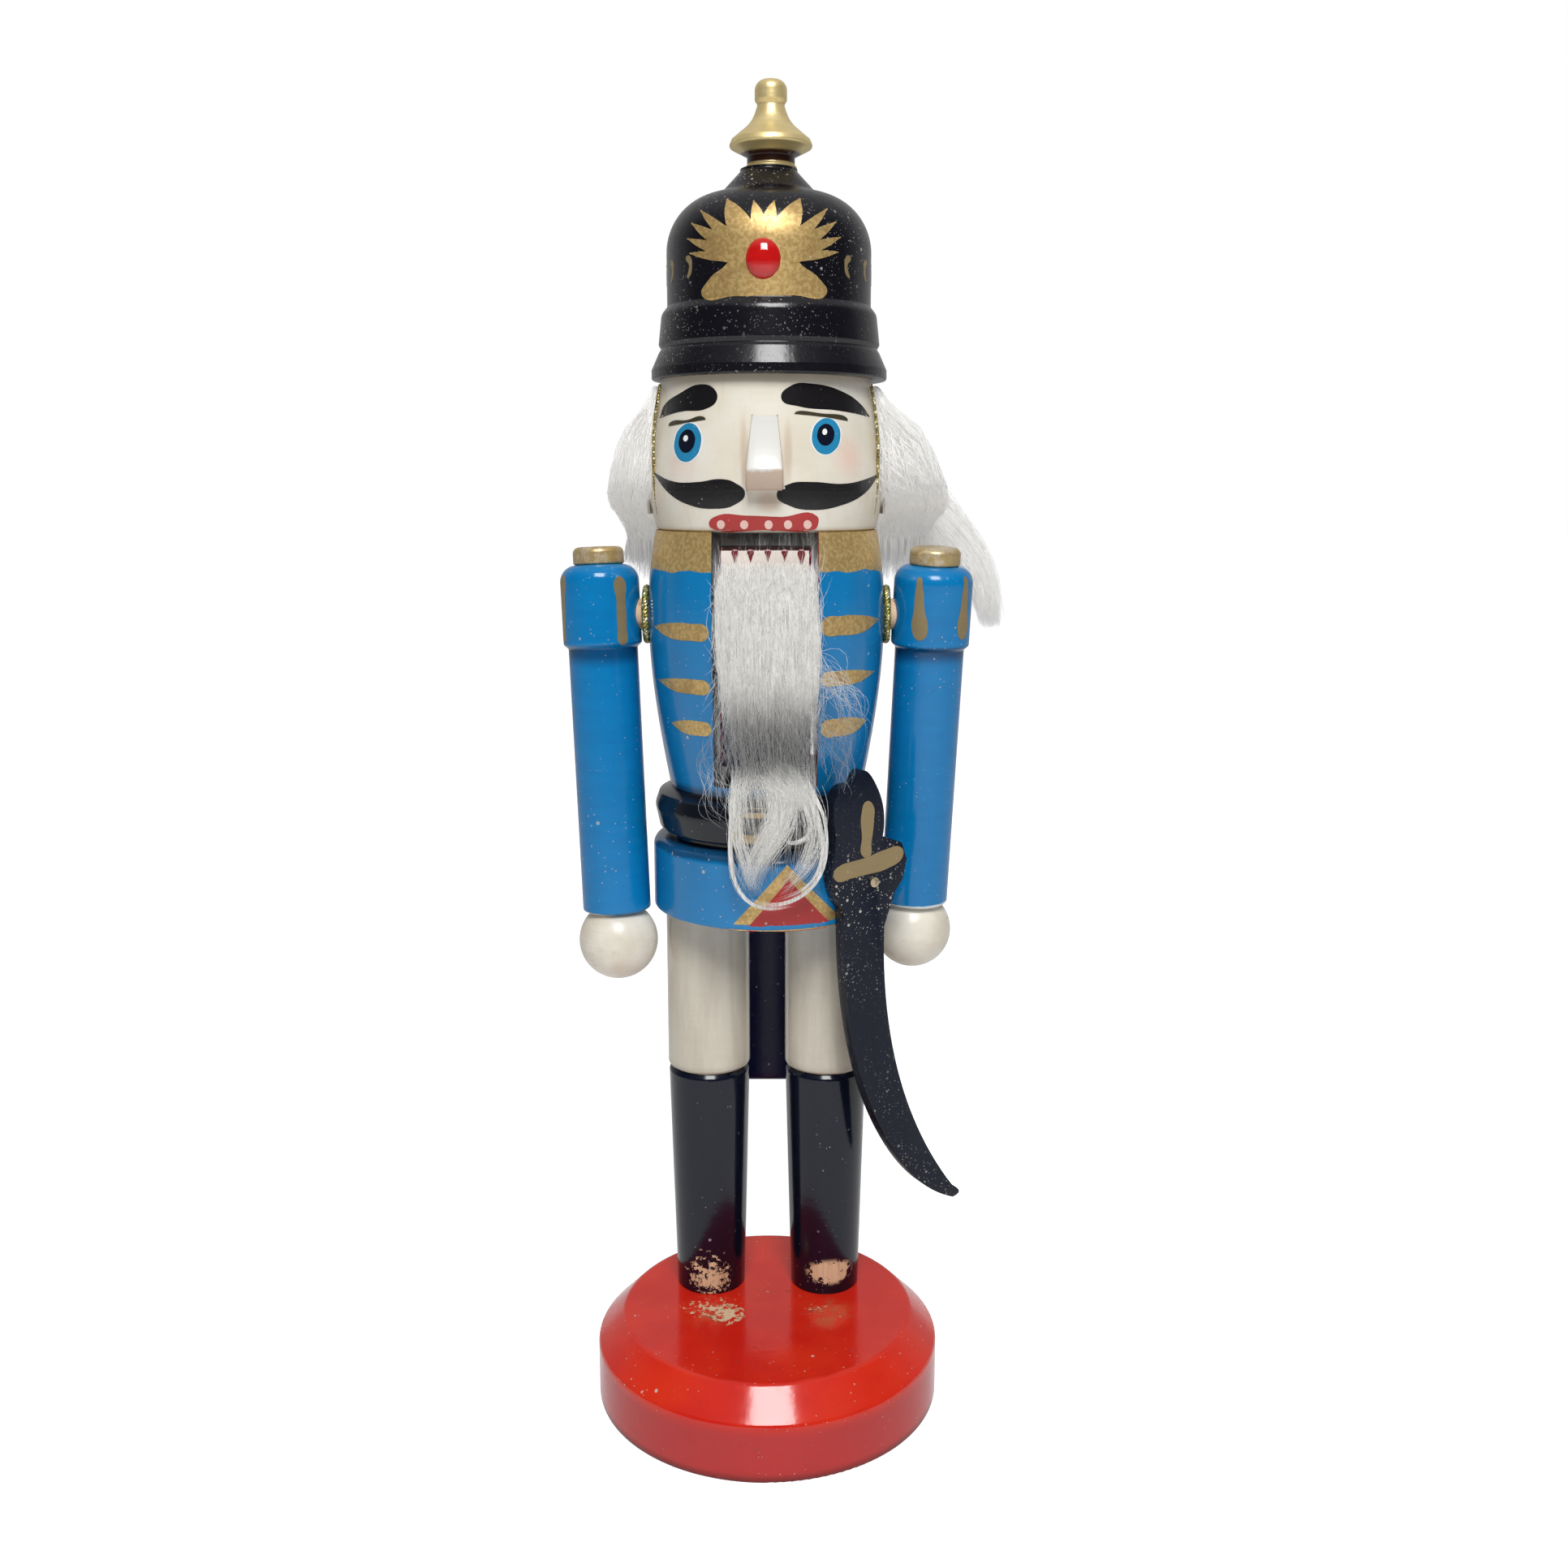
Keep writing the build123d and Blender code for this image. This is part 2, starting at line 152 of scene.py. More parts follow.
def use(group, place, **values):
    """The group's outputs, with Place joined to a position and its other inputs set."""
    node = place.id_data.nodes.new("ShaderNodeGroup")
    node.node_tree = group
    return give(node, {"Place": place, **values}).outputs


# Brush and lathe marks: faint rings round the turning, drag along them, orange peel and soft swells.
brushed, given, made = effect(
    "brushed", {"Place": (0.0, 0.0, 0.0), "Across": 150.0, "Along": 1300.0},
    {"Height": "Float", "Drag": "Float"})
pull = put("CombineXYZ", {0: given["Across"], 1: given["Across"], 2: given["Along"]}).outputs[0]
drag = noise(vectors("MULTIPLY", given["Place"], pull), 1.0, 3.0)
peel = times(drag, 0.5, times(noise(given["Place"], 850.0), 0.3))
height = times(noise(given["Place"], 120.0), 0.7, peel)
brushed.links.new(height, made["Height"])
brushed.links.new(drag, made["Drag"])

# Dust: pale specks of two sizes caught in the gloss, thicker in some places than others.
dust, given, made = effect("dust", {"Place": (0.0, 0.0, 0.0), "Amount": 0.2, "Fineness": 1100.0},
                           {"Mask": "Float"})
drift = step(noise(given["Place"], 55.0), 0.36, 0.70)
specks = 0.0
for size, share in ((1.0, 1.0), (0.45, 0.35)):
    scale = times(given["Fineness"], size)
    cells = put("TexVoronoi", {"Vector": given["Place"], "Scale": scale})
    lot = put("SeparateColor", {0: cells.outputs["Color"]}).outputs
    near = sums("LESS_THAN", cells.outputs["Distance"], times(lot[1], 0.20, 0.06))
    kept = sums("LESS_THAN", lot[0], times(given["Amount"], share))
    specks = sums("MAXIMUM", specks, times(times(near, kept), drift))
dust.links.new(specks, made["Mask"])

# Bare patch: paint flaked off round a centre, ragged and speckled at its rim.
bare_patch, given, made = effect(
    "bare_patch",
    {"Place": (0.0, 0.0, 0.0), "Centre": (0.0, 0.0, 0.0), "Reach": (1.0, 1.0, 1.0), "Grit": 900.0,
     "Fill": 0.5}, {"Mask": "Float"})
far = off_centre(given["Place"], given["Centre"], given["Reach"])
grit = noise(given["Place"], given["Grit"], 5.0, 0.65)
level = times(far, -0.20, sums("ADD", grit, given["Fill"]))
inside = step(far, 1.3, 0.8)
bare_patch.links.new(times(step(level, 0.98, 1.01), inside), made["Mask"])

# Bare beech: pale tan, fine grain along the piece and short darker flecks.
beech, given, made = effect("beech", {"Place": (0.0, 0.0, 0.0)}, {"Color": "Color", "Height": "Float"})
grain = noise(spread(given["Place"], 1500, 110), 1.0, 5.0)
fleck = noise(spread(given["Place"], 700, 60), 1.0)
tan = over(grain, (0.56, 0.33, 0.17, 1), (0.82, 0.62, 0.42, 1))
tan = over(times(step(fleck, 0.56, 0.7), 0.6), tan, (0.30, 0.15, 0.07, 1))
beech.links.new(tan, made["Color"])
beech.links.new(grain, made["Height"])


def painted(name, colour, roughness=0.14, ripple=0.3, brush=(150.0, 1300.0), mottle=0.25, dusty=0.2,
            grime=0.2, bare=(), gold=None, gloss=0.5, fine=1500.0):
    """Brushed paint over wood. colour is one colour, or builds one from a position. bare lists flaked
    patches as (centre, reach, grit, fill), and gold builds the mask of metallic paint, or is a number."""
    material, shader, place = blank(name)
    marks = use(brushed, place, Across=brush[0], Along=brush[1])
    tone = colour(place) if callable(colour) else (*colour, 1)
    patchy = times(noise(place, 95.0, 4.0), 0.6, times(marks["Drag"], 0.4))
    value = times(patchy, 2 * mottle, 1 - mottle)
    tone = put("HueSaturation", {"Color": tone, "Value": value}).outputs[0]
    dirt = step(noise(place, 380.0, 7.0, 0.72), 0.60, 0.72)
    tone = over(times(dirt, grime), tone, (0.05, 0.035, 0.028, 1))
    specks = use(dust, place, Amount=dusty, Fineness=fine)["Mask"]
    tone = over(times(specks, 0.75), tone, (0.55, 0.52, 0.47, 1))
    height = times(specks, 0.35, marks["Height"])
    polish = times(patchy, 0.10, roughness - 0.05)
    polish = times(specks, 0.4, times(dirt, 0.2, polish))
    lost = None
    for centre, reach, grit_size, fill in bare:
        mask = use(bare_patch, place, Centre=centre, Reach=reach, Grit=grit_size, Fill=fill)["Mask"]
        lost = mask if lost is None else sums("MAXIMUM", lost, mask)
    if lost is not None:
        wood = use(beech, place)
        tone = over(lost, tone, wood["Color"])
        polish = sums("MAXIMUM", polish, times(lost, 0.75))
        height = times(lost, -2.0, height)
    if callable(gold):
        gilt = gold(place)
        metallic = times(gilt, 0.6)
        polish = sums("MAXIMUM", polish, times(gilt, 0.38))
    else:
        metallic = gold or 0.0
    give(shader, {"Base Color": tone, "Roughness": polish, "Metallic": metallic, "Specular IOR Level": gloss,
                  "Normal": bumped(height, ripple, 0.12)})
    return material


def finish(name, material):
    """Gives a CAD piece its paint."""
    nodes[name].data.materials.clear()
    nodes[name].data.materials.append(material)


base_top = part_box("base")[1].z
leg_low, leg_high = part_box("left_leg")
leg_x = (leg_low.x + leg_high.x) / 2
axis_y = (leg_low.y + leg_high.y) / 2
toe_y = axis_y - 12.5 * mm
red = (0.62, 0.016, 0.008, 1)


def base_paint(place):
    """Bright red with painted shade, darker on the side wall and nearly black along the bottom edge, smoky
    round the boots, bare wood underneath.
    """
    height = parts(place)[2]
    tone = over(step(noise(place, 60.0, 3.0), 0.35, 0.7), red, (0.70, 0.030, 0.010, 1))
    # Painted shade: the side wall darker red, the bottom edge nearly black.
    tone = over(step(height, 12.2 * mm, 9.0 * mm), tone, (0.47, 0.020, 0.018, 1))
    tone = over(step(height, 2.2 * mm, 0.2 * mm), tone, (0.16, 0.006, 0.006, 1))
    smoky = 0.0
    for side in (-1, 1):
        centre = (side * leg_x, toe_y - 1.5 * mm, base_top)
        away = vectors("DISTANCE", place, centre)
        smoky = sums("MAXIMUM", smoky, step(away, 7.5 * mm, 2.0 * mm))
    smudge = times(smoky, step(noise(place, 330.0, 4.0, 0.6), 0.46, 0.62))
    tone = over(times(smudge, 0.55), tone, (0.42, 0.10, 0.04, 1))
    dark = times(smoky, step(noise(place, 260.0, 5.0, 0.7), 0.58, 0.66))
    tone = over(times(dark, 0.8), tone, (0.11, 0.05, 0.045, 1))
    under = step(height, 0.10 * mm, 0.05 * mm)
    return over(under, tone, use(beech, place)["Color"])


finish("base", painted(
    "base_red", base_paint, roughness=0.13, ripple=0.45, mottle=0.12, dusty=0.10, grime=0.30,
    bare=[((-leg_x + 0.5 * mm, toe_y, base_top), (6.8 * mm, 4.2 * mm, 2 * mm), 800.0, 0.55),
          ((-leg_x + 4.0 * mm, toe_y - 2.0 * mm, base_top), (3.4 * mm, 4.2 * mm, 2 * mm), 700.0, 0.62),
          ((leg_x - 1.0 * mm, toe_y, base_top), (5.8 * mm, 4.0 * mm, 2 * mm), 1000.0, 0.46),
          ((3.5 * mm, -20.4 * mm, 14.3 * mm), (1.0 * mm, 1.2 * mm, 1.0 * mm), 2600.0, 0.42)]))


# Studio: a pale floor running out of sight, a room that is pale behind and above, one
# soft panel high in front, and the camera level with the face, looking a little down.
bpy.ops.object.select_all(action="DESELECT")
bpy.ops.mesh.primitive_circle_add(vertices=96, radius=6, fill_type="NGON", location=(0, 0, 0))
floor = bpy.context.object
floor.name = "floor"
pale, shader, place = blank("pale_floor")
glow = times(pale.node_tree.nodes.new("ShaderNodeLightPath").outputs["Is Camera Ray"], 0.68, 0.04)
give(shader, {"Base Color": (0.92, 0.92, 0.92, 1), "Roughness": 0.8, "Emission Color": (1, 1, 1, 1),
              "Emission Strength": glow})
floor.data.materials.append(pale)

world = bpy.data.worlds.new("studio")
bpy.context.scene.world = world
world.use_nodes = True
sky = world.node_tree
heading = parts(sky.nodes.new("ShaderNodeTexCoord").outputs["Generated"])
lit_wall = (0.45, 0.45, 0.45, 1)
wall = over(step(heading[1], -0.10, 0.75), (0.030, 0.032, 0.036, 1), lit_wall)
wall = over(step(heading[2], 0.55, 0.95), wall, lit_wall)
seen = sky.nodes.new("ShaderNodeLightPath").outputs["Is Camera Ray"]
sky.links.new(over(seen, wall, (1.0, 1.0, 1.0, 1)), sky.nodes["Background"].inputs["Color"])

bpy.ops.object.light_add(type="AREA", location=(0.05, -0.70, 0.92),
                         rotation=(math.radians(47), 0, math.radians(4)))
panel = bpy.context.object
panel.name = "front_panel"
panel.data.shape = "RECTANGLE"
panel.data.size = 0.44
panel.data.size_y = 0.46
panel.data.energy = 10.5

bpy.ops.object.camera_add(location=(0.0034, -0.2883, 0.1814), rotation=(math.radians(79), 0, 0))
camera = bpy.context.object
camera.data.lens = 35.2
bpy.context.scene.camera = camera
bpy.context.scene.view_settings.view_transform = "Standard"


# Legs: each is one turning, trouser leg above and boot below. The trousers are
# cream satin paint, the boots black gloss, torn low on the front by the lost toes.
boot_top = leg_low.z + 48.5 * mm


def leg_paint(place):
    """Cream above the groove with greyish streaks drawn down it, painted shade along its lowest edge, and black
    below.
    """
    spot = parts(place)
    edge = times(noise(place, 300.0), 0.5 * mm, spot[2])
    trouser = step(edge, boot_top + 0.10 * mm, boot_top + 0.25 * mm)
    streak = noise(spread(place, 260, 45), 1.0, 6.0, 0.65)
    cream = over(step(streak, 0.30, 0.85), (0.62, 0.58, 0.48, 1), (0.50, 0.445, 0.365, 1))
    fleck = step(noise(place, 520.0, 5.0, 0.7), 0.68, 0.74)
    cream = over(times(fleck, 0.5), cream, (0.12, 0.09, 0.07, 1))
    # Painted shade on the trouser's rounded lower edge, just above the boot.
    lowest_band = step(spot[2], boot_top + 2.2 * mm, boot_top)
    cream = over(times(lowest_band, 0.55), cream, (0.36, 0.31, 0.24, 1))
    tick = 0.0
    for x, z, wide, tall in ((16.6, 80.6, 1.1, 0.35), (17.6, 81.1, 0.6, 0.30), (18.0, 85.2, 0.35, 0.45)):
        far = off_centre(place, (x * mm, axis_y - 7.0 * mm, z * mm), (wide * mm, 4 * mm, tall * mm))
        tick = sums("MAXIMUM", tick, step(far, 1.05, 0.85))
    cream = over(tick, cream, (0.02, 0.02, 0.02, 1))
    return over(trouser, (0.004, 0.006, 0.015, 1), cream)


toe_front = axis_y - 7.2 * mm
for side, torn in (
        ("right", [((-leg_x - 0.5 * mm, toe_front, 21.5 * mm), (6.2 * mm, 4 * mm, 5.6 * mm), 900.0, 0.56),
                   ((-leg_x + 0.5 * mm, toe_front, 20.0 * mm), (4.5 * mm, 4 * mm, 3.0 * mm), 1300.0, 0.58)]),
        ("left", [((leg_x + 1.2 * mm, toe_front, 22.0 * mm), (4.8 * mm, 4 * mm, 2.5 * mm), 700.0, 0.74),
                  ((leg_x - 1.5 * mm, toe_front, 21.0 * mm), (4.5 * mm, 4 * mm, 2.6 * mm), 1500.0, 0.50)])):
    finish(side + "_leg", painted(
        side + "_leg_paint", leg_paint, roughness=0.15, ripple=0.22, mottle=0.10, dusty=0.10, grime=0.12,
        bare=torn, gloss=0.42))


# Torso: one turning. Jacket and skirt are azure gloss, the collar gold and the
# belt bead black; the slot's walls are black and dark red inside.
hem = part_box("torso")[0].z
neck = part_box("torso")[1].z
azure = (0.004, 0.160, 0.400, 1)
slot_side = 9.65 * mm


def bronze(place, brown, bright):
    """Bronze powder in lacquer, its flakes lying unevenly."""
    return over(step(noise(place, 1500.0, 3.0), 0.40, 0.62), brown, bright)


def collar_mask(place):
    """The collar's gold, with a wavy lower edge."""
    spot = parts(place)
    edge = times(noise(place, 130.0), -2.6 * mm, spot[2])
    outside = step(sums("ABSOLUTE", spot[0]), slot_side - 0.10 * mm, slot_side + 0.10 * mm)
    return times(step(edge, neck - 8.8 * mm, neck - 8.6 * mm), outside)


def jacket_paint(place):
    """Azure coat with painted shade in the creases beside the belt bead, black belt, gold collar and the
    painted slot.
    """
    spot = parts(place)
    wander = noise(place, 130.0)
    low = times(wander, 0.8 * mm, spot[2])
    tone = over(noise(spread(place, 260, 60), 1.0, 4.0), azure, (0.008, 0.205, 0.480, 1))
    # Painted shade: darker blue in the creases either side of the belt bead.
    groove = times(step(low, hem + 12.6 * mm, hem + 13.6 * mm),
                  step(low, hem + 26.8 * mm, hem + 25.2 * mm))
    tone = over(times(groove, 0.85), tone, (0.006, 0.040, 0.105, 1))
    belt = times(step(low, hem + 14.9 * mm, hem + 15.1 * mm),
                step(low, hem + 25.0 * mm, hem + 24.8 * mm))
    tone = over(belt, tone, (0.006, 0.007, 0.012, 1))
    collar = bronze(place, (0.58, 0.39, 0.145, 1), (0.76, 0.55, 0.24, 1))
    tone = over(collar_mask(place), tone, collar)
    wall = times(step(sums("ABSOLUTE", spot[0]), slot_side + 0.10 * mm, slot_side - 0.05 * mm),
                 step(spot[2], hem + 26.3 * mm, hem + 26.6 * mm))
    mottled = times(noise(place, 420.0, 4.0), 9 * mm, spot[0])
    inner = over(step(mottled, 11.5 * mm, 14.5 * mm), (0.010, 0.006, 0.008, 1),
                 (0.26, 0.012, 0.014, 1))
    return over(wall, tone, inner)


finish("torso", painted("jacket_azure", jacket_paint, roughness=0.16, mottle=0.14, dusty=0.14,
                        gold=collar_mask))


def placed(name, shape):
    """A new object of a mesh or curve, the only one selected and the active one."""
    piece = bpy.data.objects.new(name, shape)
    bpy.context.collection.objects.link(piece)
    bpy.ops.object.select_all(action="DESELECT")
    piece.select_set(True)
    bpy.context.view_layer.objects.active = piece
    return piece


def laid_on(piece, node, method, lift):
    """Lays a film just above the surface of a CAD piece."""
    wrap = piece.modifiers.new("laid_on", "SHRINKWRAP")
    wrap.target = nodes[node]
    wrap.wrap_method = method
    wrap.use_project_y = True
    wrap.wrap_mode = "ABOVE_SURFACE"
    wrap.offset = lift * mm
    bpy.ops.object.modifier_apply(modifier=wrap.name)


def settle(piece, finish_name, body, slot_name, *replaced):
    """Gives a new piece its paint and its body, and hides the CAD pieces it stands for; slot_name is not used.
    """
    piece.data.materials.clear()
    piece.data.materials.append(finish_name)
    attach(piece, body)
    if replaced:
        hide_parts(*replaced)


before_all = -60 * mm       # a film's outline starts in front of every piece
sunk = 0.10                 # and ends this far below the surface


def film(name, outline, node, paint, slot_name, body="figure", lift=0.05, straight=False, turn=None,
         slices=1.5):
    """One brushed shape as a thin film of paint. outline is (x, z) in millimetres seen from the front, with
    a third value at a sharp point; the shape is laid on the CAD piece under it and, with turn = (centre,
    degrees), carried round its axis."""
    curve = bpy.data.curves.new(name, "CURVE")
    curve.dimensions = "2D"
    curve.fill_mode = "BOTH"
    curve.resolution_u = 1 if straight else 7
    spline = curve.splines.new("BEZIER")
    spline.bezier_points.add(len(outline) - 1)
    for point, spot in zip(spline.bezier_points, outline):
        point.co = (spot[0], spot[1], 0)
        point.handle_left_type = point.handle_right_type = "VECTOR" if straight or len(spot) > 2 else "AUTO"
    spline.use_cyclic_u = True
    piece = placed(name, curve)
    bpy.ops.object.convert(target="MESH")
    bpy.ops.object.mode_set(mode="EDIT")
    for axis, normal in ((0, (1, 0, 0)), (1, (0, 1, 0))):
        low = min(point[axis] for point in outline)
        high = max(point[axis] for point in outline)
        cuts = int((high - low) / slices)
        for count in range(1, cuts + 1):
            at = [0, 0, 0]
            at[axis] = low + count * (high - low) / (cuts + 1)
            bpy.ops.mesh.select_all(action="SELECT")
            bpy.ops.mesh.bisect(plane_co=at, plane_no=normal)
    bpy.ops.object.mode_set(mode="OBJECT")
    piece.scale = (mm, mm, mm)
    piece.rotation_euler = (math.pi / 2, 0, 0)
    piece.location = (0, before_all, 0)
    bpy.ops.object.transform_apply(location=True, rotation=True, scale=True)
    laid_on(piece, node, "PROJECT", lift)
    if turn:
        bpy.ops.object.mode_set(mode="EDIT")
        bpy.ops.mesh.select_all(action="SELECT")
        bpy.ops.transform.rotate(value=-math.radians(turn[1]), orient_axis="Z", center_override=turn[0])
        bpy.ops.object.mode_set(mode="OBJECT")
        laid_on(piece, node, "NEAREST_SURFACEPOINT", lift)
    skin = piece.modifiers.new("paint_depth", "SOLIDIFY")
    skin.thickness = (lift + sunk) * mm
    skin.offset = -1
    bpy.ops.object.modifier_apply(modifier=skin.name)
    bpy.ops.object.shade_smooth_by_angle(angle=math.radians(50))
    settle(piece, paint, body, slot_name)


def flecked_gold(place):
    """Bronze brushed by hand, brown where it is thin."""
    tone = bronze(place, (0.48, 0.315, 0.115, 1), (0.64, 0.45, 0.185, 1))
    thin = step(noise(place, 240.0, 4.0), 0.52, 0.70)
    return over(times(thin, 0.5), tone, (0.34, 0.20, 0.07, 1))


gold_brush = painted("gold_brush", flecked_gold, roughness=0.42, ripple=0.5, brush=(1300.0, 160.0),
                     mottle=0.22, dusty=0.1, grime=0.25, gold=0.55)
drab_gold = painted("drab_gold", (0.30, 0.225, 0.11), roughness=0.42, ripple=0.5, brush=(160.0, 1300.0),
                    mottle=0.22, dusty=0.1, grime=0.25, gold=0.35)
red_brush = painted("red_brush", (0.36, 0.012, 0.012), roughness=0.2, ripple=0.4, mottle=0.2, dusty=0.15,
                    grime=0.25)
black_brush = painted("black_brush", (0.010, 0.009, 0.010), roughness=0.22, ripple=0.5, brush=(1300.0, 160.0),
                      mottle=0.2, dusty=0.15, grime=0.1)


def dash(inner, outer, low, high):
    """The outline of one frog stripe, blunt at the slot and drawn out at its far end."""
    reach = outer - inner
    return [(inner, high - 0.5), (inner + 0.3 * reach, high), (inner + 0.75 * reach, high - 0.35),
            (outer, 0.6 * high + 0.4 * low, 1), (inner + 0.7 * reach, low + 0.25), (inner + 0.3 * reach, low),
            (inner, low + 0.5)]


frogs = (("right", -10.6, -21.3, 153.6, 156.7), ("right", -10.4, -20.6, 143.7, 146.4),
         ("right", -10.3, -17.9, 135.8, 138.6), ("left", 10.5, 21.4, 154.6, 158.1),
         ("left", 10.4, 20.6, 145.3, 148.0), ("left", 10.6, 19.2, 135.6, 139.0))
for count, (side, inner, outer, low, high) in enumerate(frogs):
    film(f"{side}_frog_{count % 3 + 1}", dash(inner, outer, low, high), "torso", gold_brush, "gold_paint")

film("skirt_front_gold", [(4.0, 112.4), (15.3, 99.8), (4.0, 99.8), (-7.0, 99.8)], "torso", gold_brush,
     "gold_paint", straight=True)
film("skirt_front_red", [(4.3, 109.6), (12.6, 99.75), (4.0, 99.75), (-3.9, 99.75)], "torso", red_brush,
     "red_enamel", straight=True, lift=0.10)
buckle_low, buckle_high = hem * 1000 + 16.6, hem * 1000 + 23.2
film("buckle", [(-6.2, buckle_low), (-6.2, buckle_high), (2.6, buckle_high), (2.6, buckle_low)], "torso",
     gold_brush, "gold_paint", straight=True, lift=0.10)
film("buckle_middle", [(-4.4, buckle_low + 1.7), (-4.4, buckle_high - 1.7), (0.8, buckle_high - 1.7),
                       (0.8, buckle_low + 1.7)], "torso", black_brush, "black_enamel", straight=True,
     lift=0.16)


# Jaw lever: a flat board through the slot, from the lower jaw in front to the
# handle behind, painted navy, with the teeth's gaps drawn in red on its white lip.
def softened(name, edge, paint, body, slot_name):
    """A copy of a sawn CAD board with its edges sanded over, shown in its place."""
    piece = placed(name + "_sanded", nodes[name].data.copy())
    bpy.ops.mesh.customdata_custom_splitnormals_clear()
    bpy.ops.object.mode_set(mode="EDIT")
    bpy.ops.mesh.select_all(action="SELECT")
    bpy.ops.mesh.remove_doubles(threshold=0.002 * mm)
    bpy.ops.mesh.dissolve_limited(angle_limit=math.radians(1))
    bpy.ops.object.mode_set(mode="OBJECT")
    bevel = piece.modifiers.new("sanded", "BEVEL")
    bevel.width = edge * mm
    bevel.segments = 2
    bevel.limit_method = "ANGLE"
    bevel.angle_limit = math.radians(40)
    bpy.ops.object.modifier_apply(modifier=bevel.name)
    bpy.ops.object.shade_smooth_by_angle(angle=math.radians(35))
    settle(piece, paint, body, slot_name, name)


jaw_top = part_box("jaw_lever")[1].z * 1000


def lever_paint(place):
    """Navy, rubbed to dark red down the jaw's edges where it runs in the slot."""
    spot = parts(place)
    edge = step(sums("ABSOLUTE", spot[0]), 7.9 * mm, 8.25 * mm)
    jaw = step(spot[2], hem + 26 * mm, hem + 34 * mm)
    front = step(spot[1], -4 * mm, -8 * mm)
    rubbed = times(times(edge, jaw), front)
    rubbed = times(rubbed, step(noise(place, 380.0, 4.0), 0.36, 0.52))
    tone = over(rubbed, (0.005, 0.006, 0.040, 1), (0.25, 0.012, 0.014, 1))
    mouth = times(step(spot[2], (jaw_top - 0.8) * mm, (jaw_top - 0.3) * mm), front)
    return over(mouth, tone, (0.030, 0.006, 0.007, 1))


lever_navy = painted("lever_navy", lever_paint, roughness=0.24, ripple=0.4, brush=(400.0, 90.0), mottle=0.25,
                     dusty=0.08, grime=0.0, gloss=0.25)
stroke_red = painted("stroke_red", (0.14, 0.008, 0.010), roughness=0.3, ripple=0.4, mottle=0.3)
lip_white = painted("lip_white", (0.74, 0.66, 0.60), roughness=0.3, ripple=0.4, mottle=0.2, grime=0.5)
lip_side, lip_low, lip_top = 7.9, 165.2, jaw_top - 0.5
film("jaw_lip", [(-lip_side, lip_low), (-lip_side, lip_top), (lip_side, lip_top), (lip_side, lip_low)],
     "jaw_lever", lip_white, "cream_enamel", "jaw", straight=True)
for count, (x, low) in enumerate(((-5.4, 167.6), (-2.6, 167.9), (0.5, 168.0), (3.5, 168.1), (6.5, 167.2))):
    film(f"jaw_stroke_{count + 1}",
         [(x - 0.5, lip_top), (x + 0.5, lip_top), (x + 0.35, low + 1), (x, low, 1), (x - 0.3, low + 1)],
         "jaw_lever", stroke_red, "red_enamel", "jaw", lift=0.12)
softened("jaw_lever", 0.5, lever_navy, "jaw", "navy_enamel")


# Head: one turning in cream satin paint with a blush on each cheek. The brows,
# eyes, moustache and lip are brushed on, each colour a film over the last.
def skin_paint(place):
    """Cream, pink on the cheeks, with painted shade under and beside the nose, under the hat's brim, along the
    lower edge above the collar and towards the sides.
    """
    spot = parts(place)
    tone = over(step(noise(place, 75.0, 5.0), 0.3, 0.7), (0.77, 0.735, 0.65, 1), (0.71, 0.65, 0.53, 1))
    streak = step(noise(spread(place, 500, 60), 1.0, 4.0), 0.55, 0.75)
    tone = over(times(streak, 0.35), tone, (0.62, 0.50, 0.36, 1))
    for x, z, strength in ((-15.5, 185.6, 0.20), (15.2, 186.4, 0.36)):
        away = vectors("DISTANCE", place, (x * mm, axis_y - 15.5 * mm, z * mm))
        tone = over(times(step(away, 5.5 * mm, 0), strength), tone, (0.85, 0.42, 0.34, 1))
    # Painted shade: a brown patch under the nose and a strip down each side of it.
    for x, z, wide, tall, strength in ((0.6, 178.6, 3.0, 2.4, 0.55), (-3.7, 187.0, 1.0, 7.0, 0.40),
                                       (4.1, 187.0, 1.0, 7.0, 0.40)):
        far = off_centre(place, (x * mm, axis_y - 21 * mm, z * mm), (wide * mm, 6 * mm, tall * mm))
        tone = over(times(step(far, 1.1, 0.3), strength), tone, (0.47, 0.31, 0.19, 1))
    # Painted shade under the hat's brim and along the head's lower edge above the collar.
    rim = sums("MAXIMUM", step(spot[2], neck + 1.3 * mm, neck),
               step(spot[2], neck + 25.8 * mm, neck + 27.5 * mm))
    tone = over(times(rim, 0.55), tone, (0.33, 0.24, 0.15, 1))
    # Painted shade: browner towards the head's sides.
    side = step(sums("ABSOLUTE", spot[0]), 17.5 * mm, 21.5 * mm)
    return over(times(side, 0.35), tone, (0.56, 0.42, 0.24, 1))


face_cream = painted("face_cream", skin_paint, roughness=0.24, ripple=0.3, mottle=0.06, dusty=0.08,
                     grime=0.10)
finish("head", face_cream)
eye_white = painted("eye_white", (0.86, 0.86, 0.84), roughness=0.2, mottle=0.04, grime=0.05)
iris_blue = painted("iris_blue", (0.022, 0.225, 0.420), roughness=0.18, ripple=0.4, mottle=0.3, grime=0.05)
pupil_black = painted("pupil_black", (0.006, 0.008, 0.020), roughness=0.12, mottle=0.1, dusty=0.05, grime=0.0)
lid_olive = painted("lid_olive", (0.045, 0.038, 0.022), roughness=0.3, mottle=0.3, grime=0.2)
lip_red = painted("lip_red", (0.40, 0.022, 0.020), roughness=0.24, ripple=0.5, mottle=0.25, grime=0.3)
tooth_pink = painted("tooth_pink", (0.78, 0.52, 0.46), roughness=0.3, ripple=0.4, mottle=0.12, grime=0.2)


def oval(x, z, half_wide, half_tall, tilt=0.0):
    """Eight points round a leaning oval."""
    lean = math.radians(tilt)
    ring = []
    for count in range(8):
        turn = math.tau * count / 8
        across, up = half_wide * math.sin(turn), half_tall * math.cos(turn)
        ring.append((x + across * math.cos(lean) + up * math.sin(lean),
                     z - across * math.sin(lean) + up * math.cos(lean)))
    return ring


